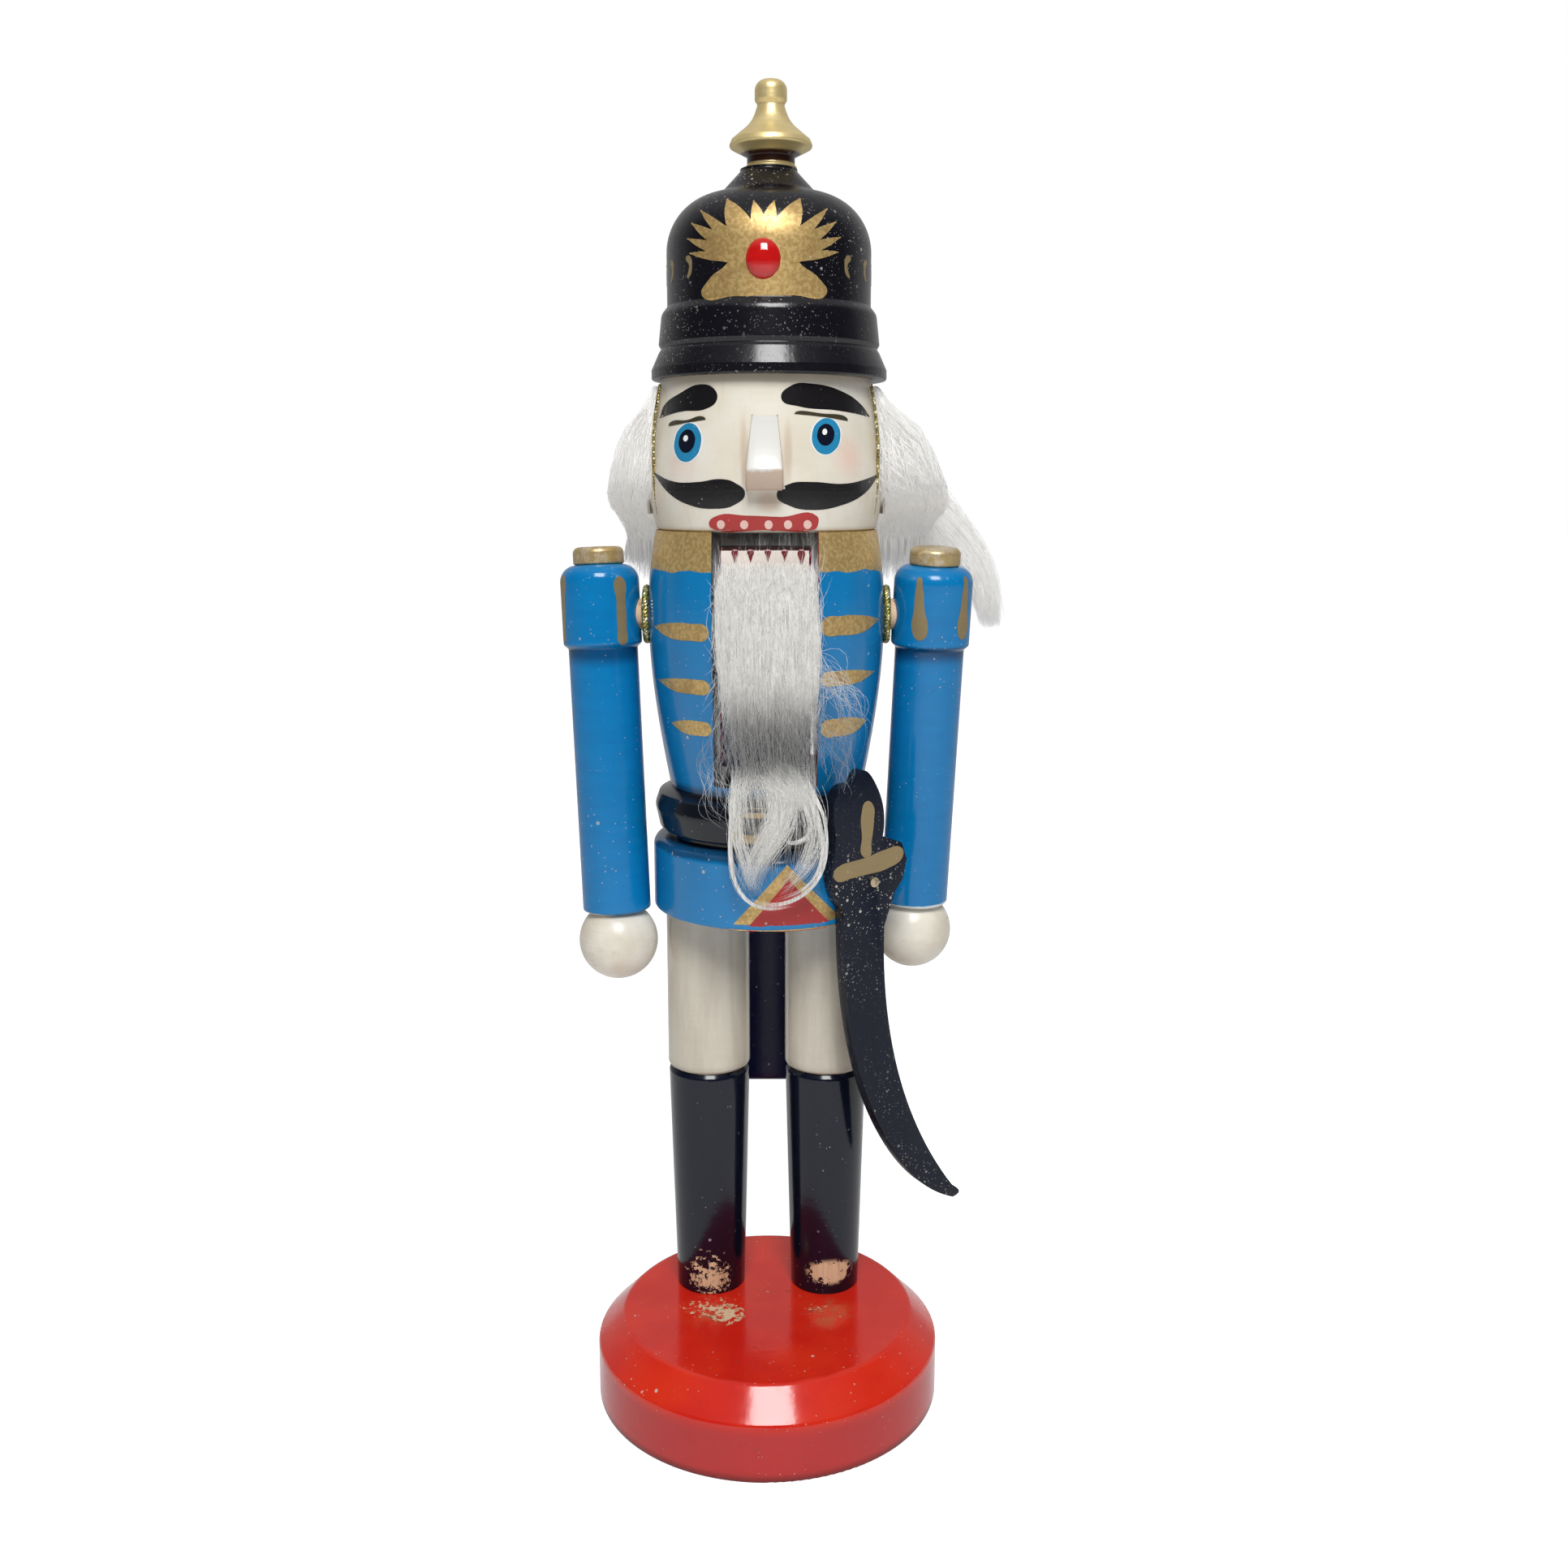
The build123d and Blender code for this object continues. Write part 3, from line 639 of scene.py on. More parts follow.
for side, x, z, wide, tall, tilt in (("right", -13.9, 189.05, 2.5, 3.45, 12),
                                     ("left", 10.9, 190.1, 2.55, 3.2, 8)):
    film(side + "_eye_white", oval(x, z, wide + 0.2, tall + 0.2, tilt), "head", eye_white, "cream_enamel",
         slices=1.0)
    film(side + "_iris", oval(x, z, wide, tall, tilt), "head", iris_blue, "blue_enamel", lift=0.08,
         slices=1.0)
    film(side + "_pupil", oval(x - 0.1, z + 0.25, 0.60 * wide, 0.60 * tall, tilt), "head", pupil_black,
         "black_enamel", lift=0.11, slices=0.8)
    film(side + "_glint", oval(x - 0.30, z + 0.75, 0.42, 0.55, tilt), "head", eye_white, "cream_enamel",
         lift=0.14)

brows = (("right", [(-19.6, 193.7, 1), (-18.6, 195.9), (-15.65, 197.7), (-11.1, 199.2), (-8.9, 198.2),
                    (-8.5, 196.4), (-10.4, 194.9), (-14.9, 194.6)]),
         ("left", [(2.9, 196.6), (4.7, 198.8), (8.25, 199.2), (14.1, 197.95), (17.4, 196.0), (19.2, 193.9, 1),
                   (12.6, 194.7), (6.1, 195.2)]))
moustache = (("right", [(-21.0, 184.0, 1), (-16.7, 182.2), (-12, 182.1), (-7.6, 182.6), (-5.2, 181.9),
                        (-3.5, 180.1), (-5.4, 178.1), (-9.1, 177.4), (-13.6, 178.0), (-17.6, 180.1)]),
             ("left", [(2.1, 179.8), (4.2, 181.7), (8.3, 182.1), (14.2, 181.8), (17.6, 182.4),
                       (21.2, 183.7, 1), (18.2, 180.1), (13.5, 177.9), (8.3, 177.2), (4.5, 177.9)]))
lids = (("right", [(-17.6, 192.1, 1), (-17.3, 192.7), (-14.0, 193.0), (-10.9, 193.5), (-10.5, 193.0, 1),
                   (-14.0, 192.55)]),
        ("left", [(5.2, 193.9, 1), (5.6, 194.3), (10.0, 194.05), (14.6, 193.5), (14.9, 192.9, 1),
                  (10.0, 193.5)]))
for side, outline in brows:
    film(side + "_brow", outline, "head", black_brush, "black_enamel")
for side, outline in moustache:
    film(side + "_moustache", outline, "head", black_brush, "black_enamel")
for side, outline in lids:
    film(side + "_lid_line", outline, "head", lid_olive, "black_enamel", lift=0.10)
film("lip", [(-10.1, 174.7), (-9.0, 176.0), (-3.0, 176.2), (3.0, 176.0), (9.3, 176.1), (9.5, 174.6),
             (8.9, 173.75), (0, 173.7), (-9.2, 173.75)], "head", lip_red, "red_enamel")
for count, x in enumerate((-7.9, -3.7, 0.65, 4.1, 7.6)):
    film(f"tooth_{count + 1}", oval(x, 174.62, 0.72, 0.78), "head", tooth_pink, "cream_enamel", lift=0.10)


# Nose: a little sawn wedge glued in its own flat on the face, its edges rubbed
# soft and its blunt lower end worn to bare wood.
def nose_paint(place):
    """Cream, with painted shade down its sides, and rubbed to bare wood at its lower end."""
    spot = parts(place)
    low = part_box("nose")[0].z
    wander = times(noise(place, 500.0, 3.0), 1.6 * mm, spot[2])
    lowest_band = step(wander, low + 4.6 * mm, low + 4.0 * mm)
    # Painted shade on the nose's side faces.
    side = step(sums("ABSOLUTE", spot[0]), 2.5 * mm, 3.2 * mm)
    tone = over(times(side, 0.5), (0.68, 0.665, 0.63, 1), (0.44, 0.34, 0.23, 1))
    return over(times(lowest_band, 0.85), tone, (0.56, 0.40, 0.29, 1))


softened("nose", 0.35, painted("nose_cream", nose_paint, roughness=0.24, ripple=0.35, mottle=0.06, dusty=0.1,
                               grime=0.2), "figure", "cream_enamel")


# Hat: one turning, black gloss full of dust specks, with a gilded crest of plain
# feathers round a red glass cabochon and a ring of small gilt commas.
hat_black = painted("hat_black", (0.005, 0.005, 0.008), roughness=0.22, ripple=0.6, brush=(700.0, 150.0),
                    mottle=0.2, dusty=1.0, grime=0.0, gloss=0.5, fine=1800.0)
finish("hat", hat_black)
hat_x = (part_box("hat")[0].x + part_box("hat")[1].x) / 2 * 1000
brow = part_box("hat")[0].z * 1000


def leaf(x, z, tip_x, tip_z, wide, sweep):
    """The outline of one feather from its root to its tip, swept to one side."""
    dx, dz = tip_x - x, tip_z - z
    long = math.hypot(dx, dz)
    nx, nz = dz / long, -dx / long
    ring = []
    for along, across in ((0, -0.35), (0.4, -0.5), (0.75, -0.33), (0.95, -0.08), (1, 0),
                         (0.95, 0.08), (0.75, 0.33), (0.4, 0.5), (0, 0.35)):
        off = across * wide + sweep * along * (1 - along) * 4
        ring.append((x + dx * along + nx * off, z + dz * along + nz * off))
    return ring


crest_x, crest_z = hat_x - 0.8, brow + 19.5
film("crest_bell", [(-11.1, 214.5), (-9.8, 217.2), (-6.6, 219.6), (-4.6, 222.6), (-3.2, 225.0), (-0.2, 225.6),
                    (2.8, 225.0), (4.2, 222.6), (6.2, 219.6), (9.6, 217.2), (10.9, 214.7), (5.0, 214.2),
                    (-0.2, 214.1), (-5.4, 214.1)],
     "hat", gold_brush, "gold_paint")
feathers = ((-13.4, 222.0, 1.7, -0.3), (-13.8, 224.6, 2.0, -0.5), (-13.0, 227.2, 2.2, -0.6),
            (-11.4, 229.4, 2.0, -0.6), (-6.6, 230.9, 4.2, -0.5), (-1.9, 230.3, 2.6, 0.2),
            (1.7, 230.3, 2.6, -0.2), (6.2, 230.9, 4.2, 0.5), (11.0, 229.4, 2.0, 0.6), (12.6, 227.2, 2.2, 0.6),
            (13.4, 224.6, 2.0, 0.5), (13.0, 222.0, 1.7, 0.3))
for count, (x, z, wide, sweep) in enumerate(feathers):
    root_x = crest_x + 0.28 * (x - crest_x)
    film(f"crest_feather_{count + 1:02d}", leaf(root_x, crest_z + 0.25 * (z - crest_z), x, z, wide, sweep),
         "hat", gold_brush, "gold_paint", lift=0.05 + 0.02 * (count % 3))
comma = [(0.0, 1.9), (0.9, 1.4), (1.15, 0.0), (0.7, -1.5), (-0.2, -1.9), (0.15, -0.9), (0.35, 0.2),
         (-0.1, 0.8), (-0.6, 1.3)]
hat_centre = (hat_x * mm, axis_y, brow * mm)
for pair in range(7):
    for side in (-1, 1):
        around = side * (49.0 + 19.5 * pair)
        shape = [(hat_x - side * x, brow + 19.0 + z) for x, z in comma]
        film(f"comma_{'right' if side < 0 else 'left'}_{pair + 1}", shape, "hat", drab_gold, "gold_paint",
             turn=(hat_centre, around), slices=1.0)

glass, shader, place = blank("red_glass")
cloud = over(noise(place, 420.0, 3.0), (0.62, 0.010, 0.008, 1), (0.40, 0.004, 0.006, 1))
scratch = times(noise(place, 900.0, 4.0), 0.10, 0.03)
give(shader, {"Base Color": cloud, "Roughness": scratch, "Coat Weight": 0.5})
finish("hat_jewel", glass)


# Finial: a turned knob gilded all over but its neck, where a dark red ring is painted as the shade in that
# recess.
def gilding(place):
    """Gold all over but for a ring of painted shade at the neck."""
    height = parts(place)[2]
    neck_from, neck_to = (brow + 38.4) * mm, (brow + 40.2) * mm
    # Painted shade: the neck's recess is dark red instead of gold.
    neck_shade = times(step(height, neck_from, neck_from + 0.3 * mm),
                  step(height, neck_to + 0.4 * mm, neck_to))
    return sums("SUBTRACT", 1.0, neck_shade)


def finial_paint(place):
    """Bright and duller gold, with a dark red ring of painted shade at the neck."""
    gilt = over(noise(place, 240.0, 4.0), (0.88, 0.73, 0.38, 1), (0.70, 0.53, 0.22, 1))
    return over(gilding(place), (0.035, 0.010, 0.006, 1), gilt)


finish("finial", painted("finial_gold", finial_paint, roughness=0.24, ripple=0.4, mottle=0.15, dusty=0.1,
                         grime=0.15, gold=gilding))


# Arms: each a turned sleeve with a wider cap, azure gloss with gilt teardrops, on
# a dowel through the body; a cream ball hand glued below, a gilt button above.
def sleeve_paint(place):
    """Azure, with a dark band of painted shade under the cap, and a broken white line of primer at the cuff."""
    spot = parts(place)
    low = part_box("left_sleeve")[0].z
    tone = over(noise(spread(place, 120, 600), 1.0, 4.0), (0.002, 0.155, 0.400, 1), (0.003, 0.200, 0.480, 1))
    # Painted shade: a dark blue band under the cap's overhang.
    cap_shade = times(step(spot[2], low + 48.5 * mm, low + 51.3 * mm),
                     step(spot[2], low + 53.0 * mm, low + 52.2 * mm))
    tone = over(times(cap_shade, 0.8), tone, (0.003, 0.035, 0.110, 1))
    edge = times(noise(place, 200.0), 0.9 * mm, spot[2])
    return over(step(edge, low + 1.25 * mm, low + 1.05 * mm), tone, (0.66, 0.68, 0.68, 1))


sleeve_azure = painted("sleeve_azure", sleeve_paint, roughness=0.17, ripple=0.35, brush=(130.0, 900.0),
                       mottle=0.12, dusty=0.22, grime=0.12, gloss=0.42)


def hand_paint(place):
    """Cream, uneven and finely cracked."""
    tone = over(step(noise(place, 130.0, 5.0), 0.35, 0.7), (0.80, 0.76, 0.66, 1), (0.66, 0.60, 0.49, 1))
    cracks = step(noise(place, 620.0, 6.0, 0.75), 0.62, 0.70)
    return over(times(cracks, 0.35), tone, (0.36, 0.27, 0.17, 1))


hand_cream = painted("hand_cream", hand_paint, roughness=0.28, ripple=0.4, mottle=0.08, dusty=0.15, grime=0.2)


def button_paint(place):
    """Thin gilt over pale wood, rubbed away in patches."""
    thin = step(noise(place, 450.0, 5.0, 0.7), 0.44, 0.60)
    return over(thin, (0.47, 0.34, 0.15, 1), (0.60, 0.50, 0.34, 1))


button_gold = painted("button_gold", button_paint, roughness=0.35, ripple=0.5, mottle=0.2, dusty=0.2,
                      grime=0.4, gold=0.45)
pivots = {joint["name"].split("_")[0]: joint["pos_m"] for joint in frame["record"]["behaviour"]["joints"]}
teardrop = [(0, 164.5), (0.7, 162.5), (1.0, 158.5), (1.6, 154.8), (0.9, 152.8), (-0.4, 152.6), (-1.5, 154.4),
            (-1.1, 158.5), (-0.7, 162.5)]
bar = [(-0.8, 164.3), (0.8, 164.2), (1.0, 160.0), (0.95, 155.0), (0.7, 151.9), (-0.6, 151.8), (-1.0, 155.0),
       (-0.95, 160.0)]
for side, shape, places in (("right", bar, (37, -66, 125, -155)), ("left", teardrop, (-23, 48, 120, -120))):
    finish(side + "_sleeve", sleeve_azure)
    finish(side + "_hand", hand_cream)
    finish(side + "_epaulette", button_gold)
    arm_x = pivots[side][0] * 1000
    for count, around in enumerate(places):
        film(f"{side}_cap_stripe_{count + 1}", [(arm_x + x, z) for x, z in shape], side + "_sleeve",
             drab_gold, "gold_paint", side + "_arm", turn=(pivots[side], around))


# Trim: tinsel braid, three strands twisted, in a ring round each shoulder joint,
# and a thin gilt cord glued up each edge of the face.
def tinsel_paint(name, warm, cool):
    """Flat metal thread: each glint has a tone and a slope of its own."""
    material, shader, place = blank(name)
    cells = put("TexVoronoi", {"Vector": place, "Scale": 2600.0})
    lot = put("SeparateColor", {0: cells.outputs["Color"]}).outputs
    tone = over(lot[0], (*warm, 1), (*cool, 1))
    tone = over(sums("GREATER_THAN", lot[1], 0.82), tone, (0.95, 0.88, 0.62, 1))
    give(shader, {"Base Color": tone, "Roughness": times(lot[2], 0.4, 0.15), "Metallic": 0.85,
                  "Normal": bumped(lot[1], 0.8, 0.15)})
    return material


def twisted(name, line, closed, thick, turns, paint, node):
    """Three round strands twisted about a line of points in millimetres, in place of the CAD's plain cord."""
    centre = np.array(line, float)
    ahead = np.roll(centre, -1, 0) - np.roll(centre, 1, 0)
    if not closed:
        ahead[0], ahead[-1] = centre[1] - centre[0], centre[-1] - centre[-2]
    ahead /= np.linalg.norm(ahead, axis=1)[:, None]
    aside = np.cross(ahead, (1.0, 0.3, 0.1) if not closed else (1.0, 0.0, 0.0))
    aside /= np.linalg.norm(aside, axis=1)[:, None]
    third = np.cross(ahead, aside)
    curve = bpy.data.curves.new(name, "CURVE")
    curve.dimensions = "3D"
    curve.bevel_depth = 0.52 * thick
    curve.bevel_resolution = 1
    curve.use_fill_caps = not closed
    steps = len(centre) if closed else len(centre) - 1
    for strand in range(3):
        turn = math.tau * (strand / 3 + turns * np.arange(len(centre)) / steps)
        path = centre + 0.48 * thick * (np.cos(turn)[:, None] * aside + np.sin(turn)[:, None] * third)
        spline = curve.splines.new("POLY")
        spline.points.add(len(path) - 1)
        for point, spot in zip(spline.points, path):
            point.co = (*spot, 1)
        spline.use_cyclic_u = closed
    piece = placed(name, curve)
    bpy.ops.object.convert(target="MESH")
    piece.scale = (mm, mm, mm)
    bpy.ops.object.transform_apply(location=True, rotation=True, scale=True)
    bpy.ops.object.shade_smooth()
    settle(piece, paint, "figure", "gold_braid", node)


tinsel = tinsel_paint("tinsel", (0.55, 0.42, 0.12), (0.16, 0.20, 0.05))
cord_gilt = tinsel_paint("cord_gilt", (0.42, 0.33, 0.12), (0.18, 0.16, 0.06))
axis_mm = axis_y * 1000
ring_radius, ring_points = 5.0, 150
cord_from = math.radians(20)        # the cords lie this far in front of the head's sides
for side, sign in (("left", 1), ("right", -1)):
    low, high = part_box(side + "_shoulder_braid")
    middle = (low + high) / 2 * 1000
    ring = [(middle.x, middle.y + ring_radius * math.sin(turn), middle.z + ring_radius * math.cos(turn))
            for turn in (math.tau * count / ring_points for count in range(ring_points))]
    twisted(side + "_tinsel_ring", ring, True, 0.72, 15, tinsel, side + "_shoulder_braid")
    low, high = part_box(side + "_hair_cord")
    cord = []
    for count in range(61):
        up = count / 60
        z = (low.z + up * (high.z - low.z)) * 1000
        out = 22.1 + 1.15 * (1 - (2 * up - 0.85) ** 2) - 1.05
        cord.append((sign * out * math.cos(cord_from), axis_mm - out * math.sin(cord_from), z))
    twisted(side + "_gilt_cord", cord, False, 0.36, 13, cord_gilt, side + "_hair_cord")


# Sword: a flat board sawn to shape and painted blue-black, grip and guard picked
# out in gold by brush, held to the skirt by one brass nail.
board_turn = math.cos(math.radians(29.65))
sword_x, sword_z = 20.45, 108.1
grip = [(-1.9, 15.7), (-0.6, 15.0), (-0.3, 11.6), (-0.8, 7.6), (-1.2, 5.0), (-2.6, 5.2), (-2.9, 9.0),
        (-3.0, 13.6)]
guard = [(-9.0, 2.9), (-8.3, 1.1), (-5.0, 1.3), (-1.9, 1.6), (2.8, 2.2), (6.3, 4.1), (5.9, 6.0), (2.1, 5.9),
         (-1.9, 4.9), (-5.0, 4.5), (-7.4, 4.1)]
for name, outline in (("sword_grip_gold", grip), ("sword_guard_gold", guard)):
    film(name, [(sword_x + u * board_turn, sword_z + w) for u, w in outline], "sword", drab_gold,
         "gold_paint")
sword_black = painted("sword_black", (0.007, 0.010, 0.020), roughness=0.30, ripple=0.55, brush=(500.0, 90.0),
                      mottle=0.3, dusty=0.95, grime=0.1, gloss=0.2, fine=1900.0)
softened("sword", 0.3, sword_black, "figure", "black_enamel")


def metal(name, tone, roughness):
    """Drawn wire or a pin, dulled and spotted."""
    material, shader, place = blank(name)
    dull = noise(place, 900.0, 5.0, 0.65)
    dark = [0.35 * part for part in tone]
    spotted = over(step(dull, 0.5, 0.68), (*tone, 1), (*dark, 1))
    give(shader, {"Base Color": spotted, "Roughness": times(dull, 0.35, roughness), "Metallic": 1.0,
                  "Normal": bumped(dull, 0.3, 0.05)})
    return material


finish("sword_nail", metal("nail_brass", (0.62, 0.52, 0.36), 0.18))


# Hair: a band of long white plush glued round the back of the head under the
# hat's brim, combed down over the collar, one long lock behind the left shoulder.
def fibres(name, paths, thick, paint, seed):
    """One mesh of thin tapering three-sided fibres; paths is an array of (fibre, station, x y z) in mm."""
    rng = np.random.default_rng(seed)
    count, stations, _ = paths.shape
    ahead = np.gradient(paths, axis=1)
    ahead /= np.linalg.norm(ahead, axis=2)[..., None] + 1e-9
    aside = np.cross(ahead, rng.normal(size=(count, 1, 3)))
    aside /= np.linalg.norm(aside, axis=2)[..., None] + 1e-9
    third = np.cross(ahead, aside)
    taper = np.interp(np.linspace(0, 1, stations), (0, 0.1, 0.7, 1), (0.7, 1, 0.9, 0.15))[None, :, None]
    radius = thick / 2 * taper * rng.uniform(0.7, 1.3, (count, 1, 1))
    corners = [paths + radius * (math.cos(turn) * aside + math.sin(turn) * third)
               for turn in (0, math.tau / 3, 2 * math.tau / 3)]
    points = np.stack(corners, axis=2).reshape(-1, 3) * mm
    ring = 3 * np.arange(count * stations).reshape(count, stations)
    low, high = ring[:, :-1].reshape(-1), ring[:, 1:].reshape(-1)
    quads = np.concatenate([np.stack((low + a, low + b, high + b, high + a), 1)
                            for a, b in ((0, 1), (1, 2), (2, 0))])
    root, tip = ring[:, 0], ring[:, -1]
    caps = np.concatenate((np.stack((root + 2, root + 1, root), 1), np.stack((tip, tip + 1, tip + 2), 1)))
    mesh = bpy.data.meshes.new(name)
    mesh.vertices.add(len(points))
    mesh.vertices.foreach_set("co", points.ravel())
    mesh.loops.add(quads.size + caps.size)
    mesh.loops.foreach_set("vertex_index", np.concatenate((quads.ravel(), caps.ravel())))
    mesh.polygons.add(len(quads) + len(caps))
    starts = np.concatenate((4 * np.arange(len(quads)), quads.size + 3 * np.arange(len(caps))))
    mesh.polygons.foreach_set("loop_start", starts)
    mesh.polygons.foreach_set("use_smooth", np.ones(len(starts), bool))
    mesh.update(calc_edges=True)
    mesh.validate()
    mesh.materials.append(paint)
    return placed(name, mesh)


def plush(name, bright, dull, glow, nape=0.0, thin=()):
    """White synthetic fibre, uneven in tone from strand to strand. glow is painted light, an emission that
    makes the fibres shine as if lit, none of it close to the neck below the height nape, and thin a span
    painted dark as shade, with its glow taken away."""
    material, shader, place = blank(name)
    lock = noise(spread(place, 1800, 80), 1.0, 3.0)
    single = noise(spread(place, 5200, 110), 1.0)
    mixed = times(single, 0.8, times(lock, 0.2))
    tone = over(step(mixed, 0.36, 0.60), (*dull, 1), (*bright, 1))
    spot = parts(place)
    light = glow
    # Painted shade: a span of fibres darkened, with no painted glow.
    if thin:
        height = times(lock, 7 * mm, spot[2])
        grey_shade = times(step(height, thin[0] * mm, thin[1] * mm),
                    step(height, thin[3] * mm, thin[2] * mm))
        tone = over(times(grey_shade, 0.7), tone, (0.25, 0.245, 0.24, 1))
        light = times(grey_shade, -glow, glow)
    if nape:
        outer = step(sums("ABSOLUTE", spot[0]), 9 * mm, 15 * mm)
        outer = sums("MAXIMUM", outer, step(spot[1], axis_y + 25.0 * mm, axis_y + 28.0 * mm))
        above = step(spot[2], nape, nape + 7 * mm)
        light = times(sums("MAXIMUM", outer, above), light)
    # Painted light: the fibres shine by emission, as if lit.
    painted_glow = over(times(light, single), (0, 0, 0, 1), (*bright, 1))
    give(shader, {
        "Base Color": tone, "Roughness": times(lock, 0.3, 0.35), "Emission Color": painted_glow,
        "Emission Strength": 1.0, "Subsurface Weight": 0.6, "Subsurface Radius": (1.0, 1.0, 1.0),
        "Subsurface Scale": 0.6 * mm})
    return material


def strands(guide, count, stations, across, deep, wander, start, end, seed, curl=1.0):
    """Fibres that follow a guide line of (x, y, z) points. across and deep are the tress's half sizes at each
    guide point, wander is how far a fibre strays, start and end are the ranges its two ends fall in, and curl
    is how quickly it bends to and fro."""
    rng = np.random.default_rng(seed)
    guide = np.array(guide, float)
    knots = np.linspace(0, 1, len(guide))
    first, last = rng.uniform(*start, (count, 1)), rng.uniform(*end, (count, 1))
    along = first + (last - first) * np.linspace(0, 1, stations)[None]
    fine = np.linspace(0, 1, 200)
    bow = np.stack([np.interp(fine, knots, guide[:, axis]) for axis in range(3)], 1)
    for _ in range(2):
        kernel = np.ones(31) / 31
        padded = np.pad(bow, ((15, 15), (0, 0)), mode="reflect", reflect_type="odd")
        bow = np.stack([np.convolve(padded[:, axis], kernel, mode="valid") for axis in range(3)], 1)
    paths = np.stack([np.interp(along, fine, bow[:, axis]) for axis in range(3)], 2)
    heading = np.stack([np.interp(along, fine, np.gradient(bow[:, axis])) for axis in range(3)], 2)
    level = np.cross(heading, (0.0, 1.0, 0.0))
    level /= np.linalg.norm(level, axis=2)[..., None] + 1e-9
    angle = rng.uniform(0, math.tau, (count, 1))
    reach = np.sqrt(rng.uniform(0, 1, (count, 1)))
    side = reach * np.cos(angle) * np.interp(along, knots, across)
    back = reach * np.sin(angle) * np.interp(along, knots, deep)
    sway = wander * rng.normal(0, 1, (count, 1)) * np.sin(
        curl * along * rng.uniform(3, 9, (count, 1)) + rng.uniform(0, math.tau, (count, 1)))
    swing = wander * 0.5 * rng.normal(0, 1, (count, 1)) * np.sin(
        curl * along * rng.uniform(4, 12, (count, 1)) + rng.uniform(0, math.tau, (count, 1)))
    paths = paths + (side + sway)[..., None] * level
    paths[..., 1] += back + swing
    return paths


def hair_fall(count, stations, turn_from, turn_to, low_end, seed):
    """Fibres that bell out and down from the head's side and back, in degrees round it from its left."""
    rng = np.random.default_rng(seed)
    turn = rng.uniform(turn_from, turn_to, (count, 1))
    root = brow - 1.2 - 17 * rng.uniform(0, 1, (count, 1)) ** 2
    depth = rng.uniform(0, 1, (count, 1)) ** 0.8
    side_on = np.abs(np.cos(np.radians(turn)))
    end = low_end[0] + (low_end[1] - low_end[0]) * np.clip((side_on - 0.80) / 0.12, 0, 1)
    end = end + rng.uniform(-1.5, 7.0, (count, 1))
    fall = np.linspace(0, 1, stations)[None]
    height = root + (np.minimum(end, root - 6) - root) * fall
    own_left = np.interp(height, (163, 170, 176, 184, 190, 196, 200),
                         (36.6, 37.2, 36.1, 33.2, 30.9, 28.0, 24.4))
    own_right = np.interp(height, (163, 168.5, 172, 176, 180, 186, 190, 196, 200),
                          (33.0, 32.3, 31.0, 30.6, 30.2, 28.9, 27.8, 25.4, 22.6))
    outer = own_right + (own_left - own_right) * np.clip(0.5 + 0.9 * np.cos(np.radians(turn)), 0, 1)
    outer = outer - 3.0 * np.sin(np.radians(turn)) ** 2 * np.clip((195 - height) / 15, 0, 1)
    inner = np.interp(height, (163, 172, 174, 178, 200), (23.6, 23.6, 22.6, 22.3, 20.9))
    lift = np.clip(fall * 3.2, 0, 1)
    out = inner + (outer - inner) * depth * lift
    out = out + 0.3 * np.sin(fall * rng.uniform(4, 10, (count, 1)) + rng.uniform(0, 6.3, (count, 1)))
    drift = 4 * rng.normal(0, 1, (count, 1)) * fall ** 1.5
    low = np.clip((181 - height) / 7, 0, 1)
    turn = turn + drift
    folded = np.where(turn < 90, np.maximum(turn, turn + low * (27 - turn)),
                      np.minimum(turn, turn + low * (153 - turn)))
    around = np.radians(folded)
    return np.stack((out * np.cos(around), axis_mm + out * np.sin(around), height), 2)


# The hair's fibres shine with a painted glow, by emission.
hair_white = plush("hair_white", (0.93, 0.92, 0.90), (0.80, 0.79, 0.77), 0.30, nape=neck)
for number, (name, turns, low_end) in enumerate((
        ("hair_left", (-17, 40), (163.8, 167.5)), ("hair_back_left", (30, 92), (163.8, 167.0)),
        ("hair_back_right", (88, 150), (163.8, 167.0)), ("hair_right", (140, 197), (163.8, 167.5)))):
    piece = fibres(name, hair_fall(4300, 8, *turns, low_end, 11 + number), 0.16, hair_white, 31 + number)
    settle(piece, hair_white, "figure", "fur", *(("hair",) if number == 0 else ()))

lock = [(19.5, 21, 197), (25.5, 24, 188), (31.0, 26.5, 179.5), (36.5, 28.2, 173.5), (41.0, 28.6, 168.5),
        (44.2, 28.6, 162.5), (45.6, 28.4, 156.5), (46.0, 28.2, 152.6)]
paths = strands(lock, 3500, 10, (1.5, 3.0, 3.6, 3.7, 3.3, 2.9, 2.5, 2.0),
                (1.0, 1.8, 2.2, 2.4, 2.4, 2.2, 1.8, 1.0), 0.5, (0.0, 0.28), (0.45, 1.0), 41)
settle(fibres("hair_lock", paths, 0.13, hair_white, 42), hair_white, "figure", "fur")
fill = [(22.0, 25, 190), (26.5, 27, 182), (30.0, 28, 175), (32.0, 28.4, 169), (33.0, 28.4, 163.5)]
paths = strands(fill, 2500, 8, (3.0, 4.5, 6.0, 7.0, 6.5), (1.5, 2.0, 2.4, 2.4, 2.0), 0.5, (0.0, 0.3),
                (0.6, 1.0), 43)
settle(fibres("hair_lock_fill", paths, 0.14, hair_white, 44), hair_white, "figure", "fur")

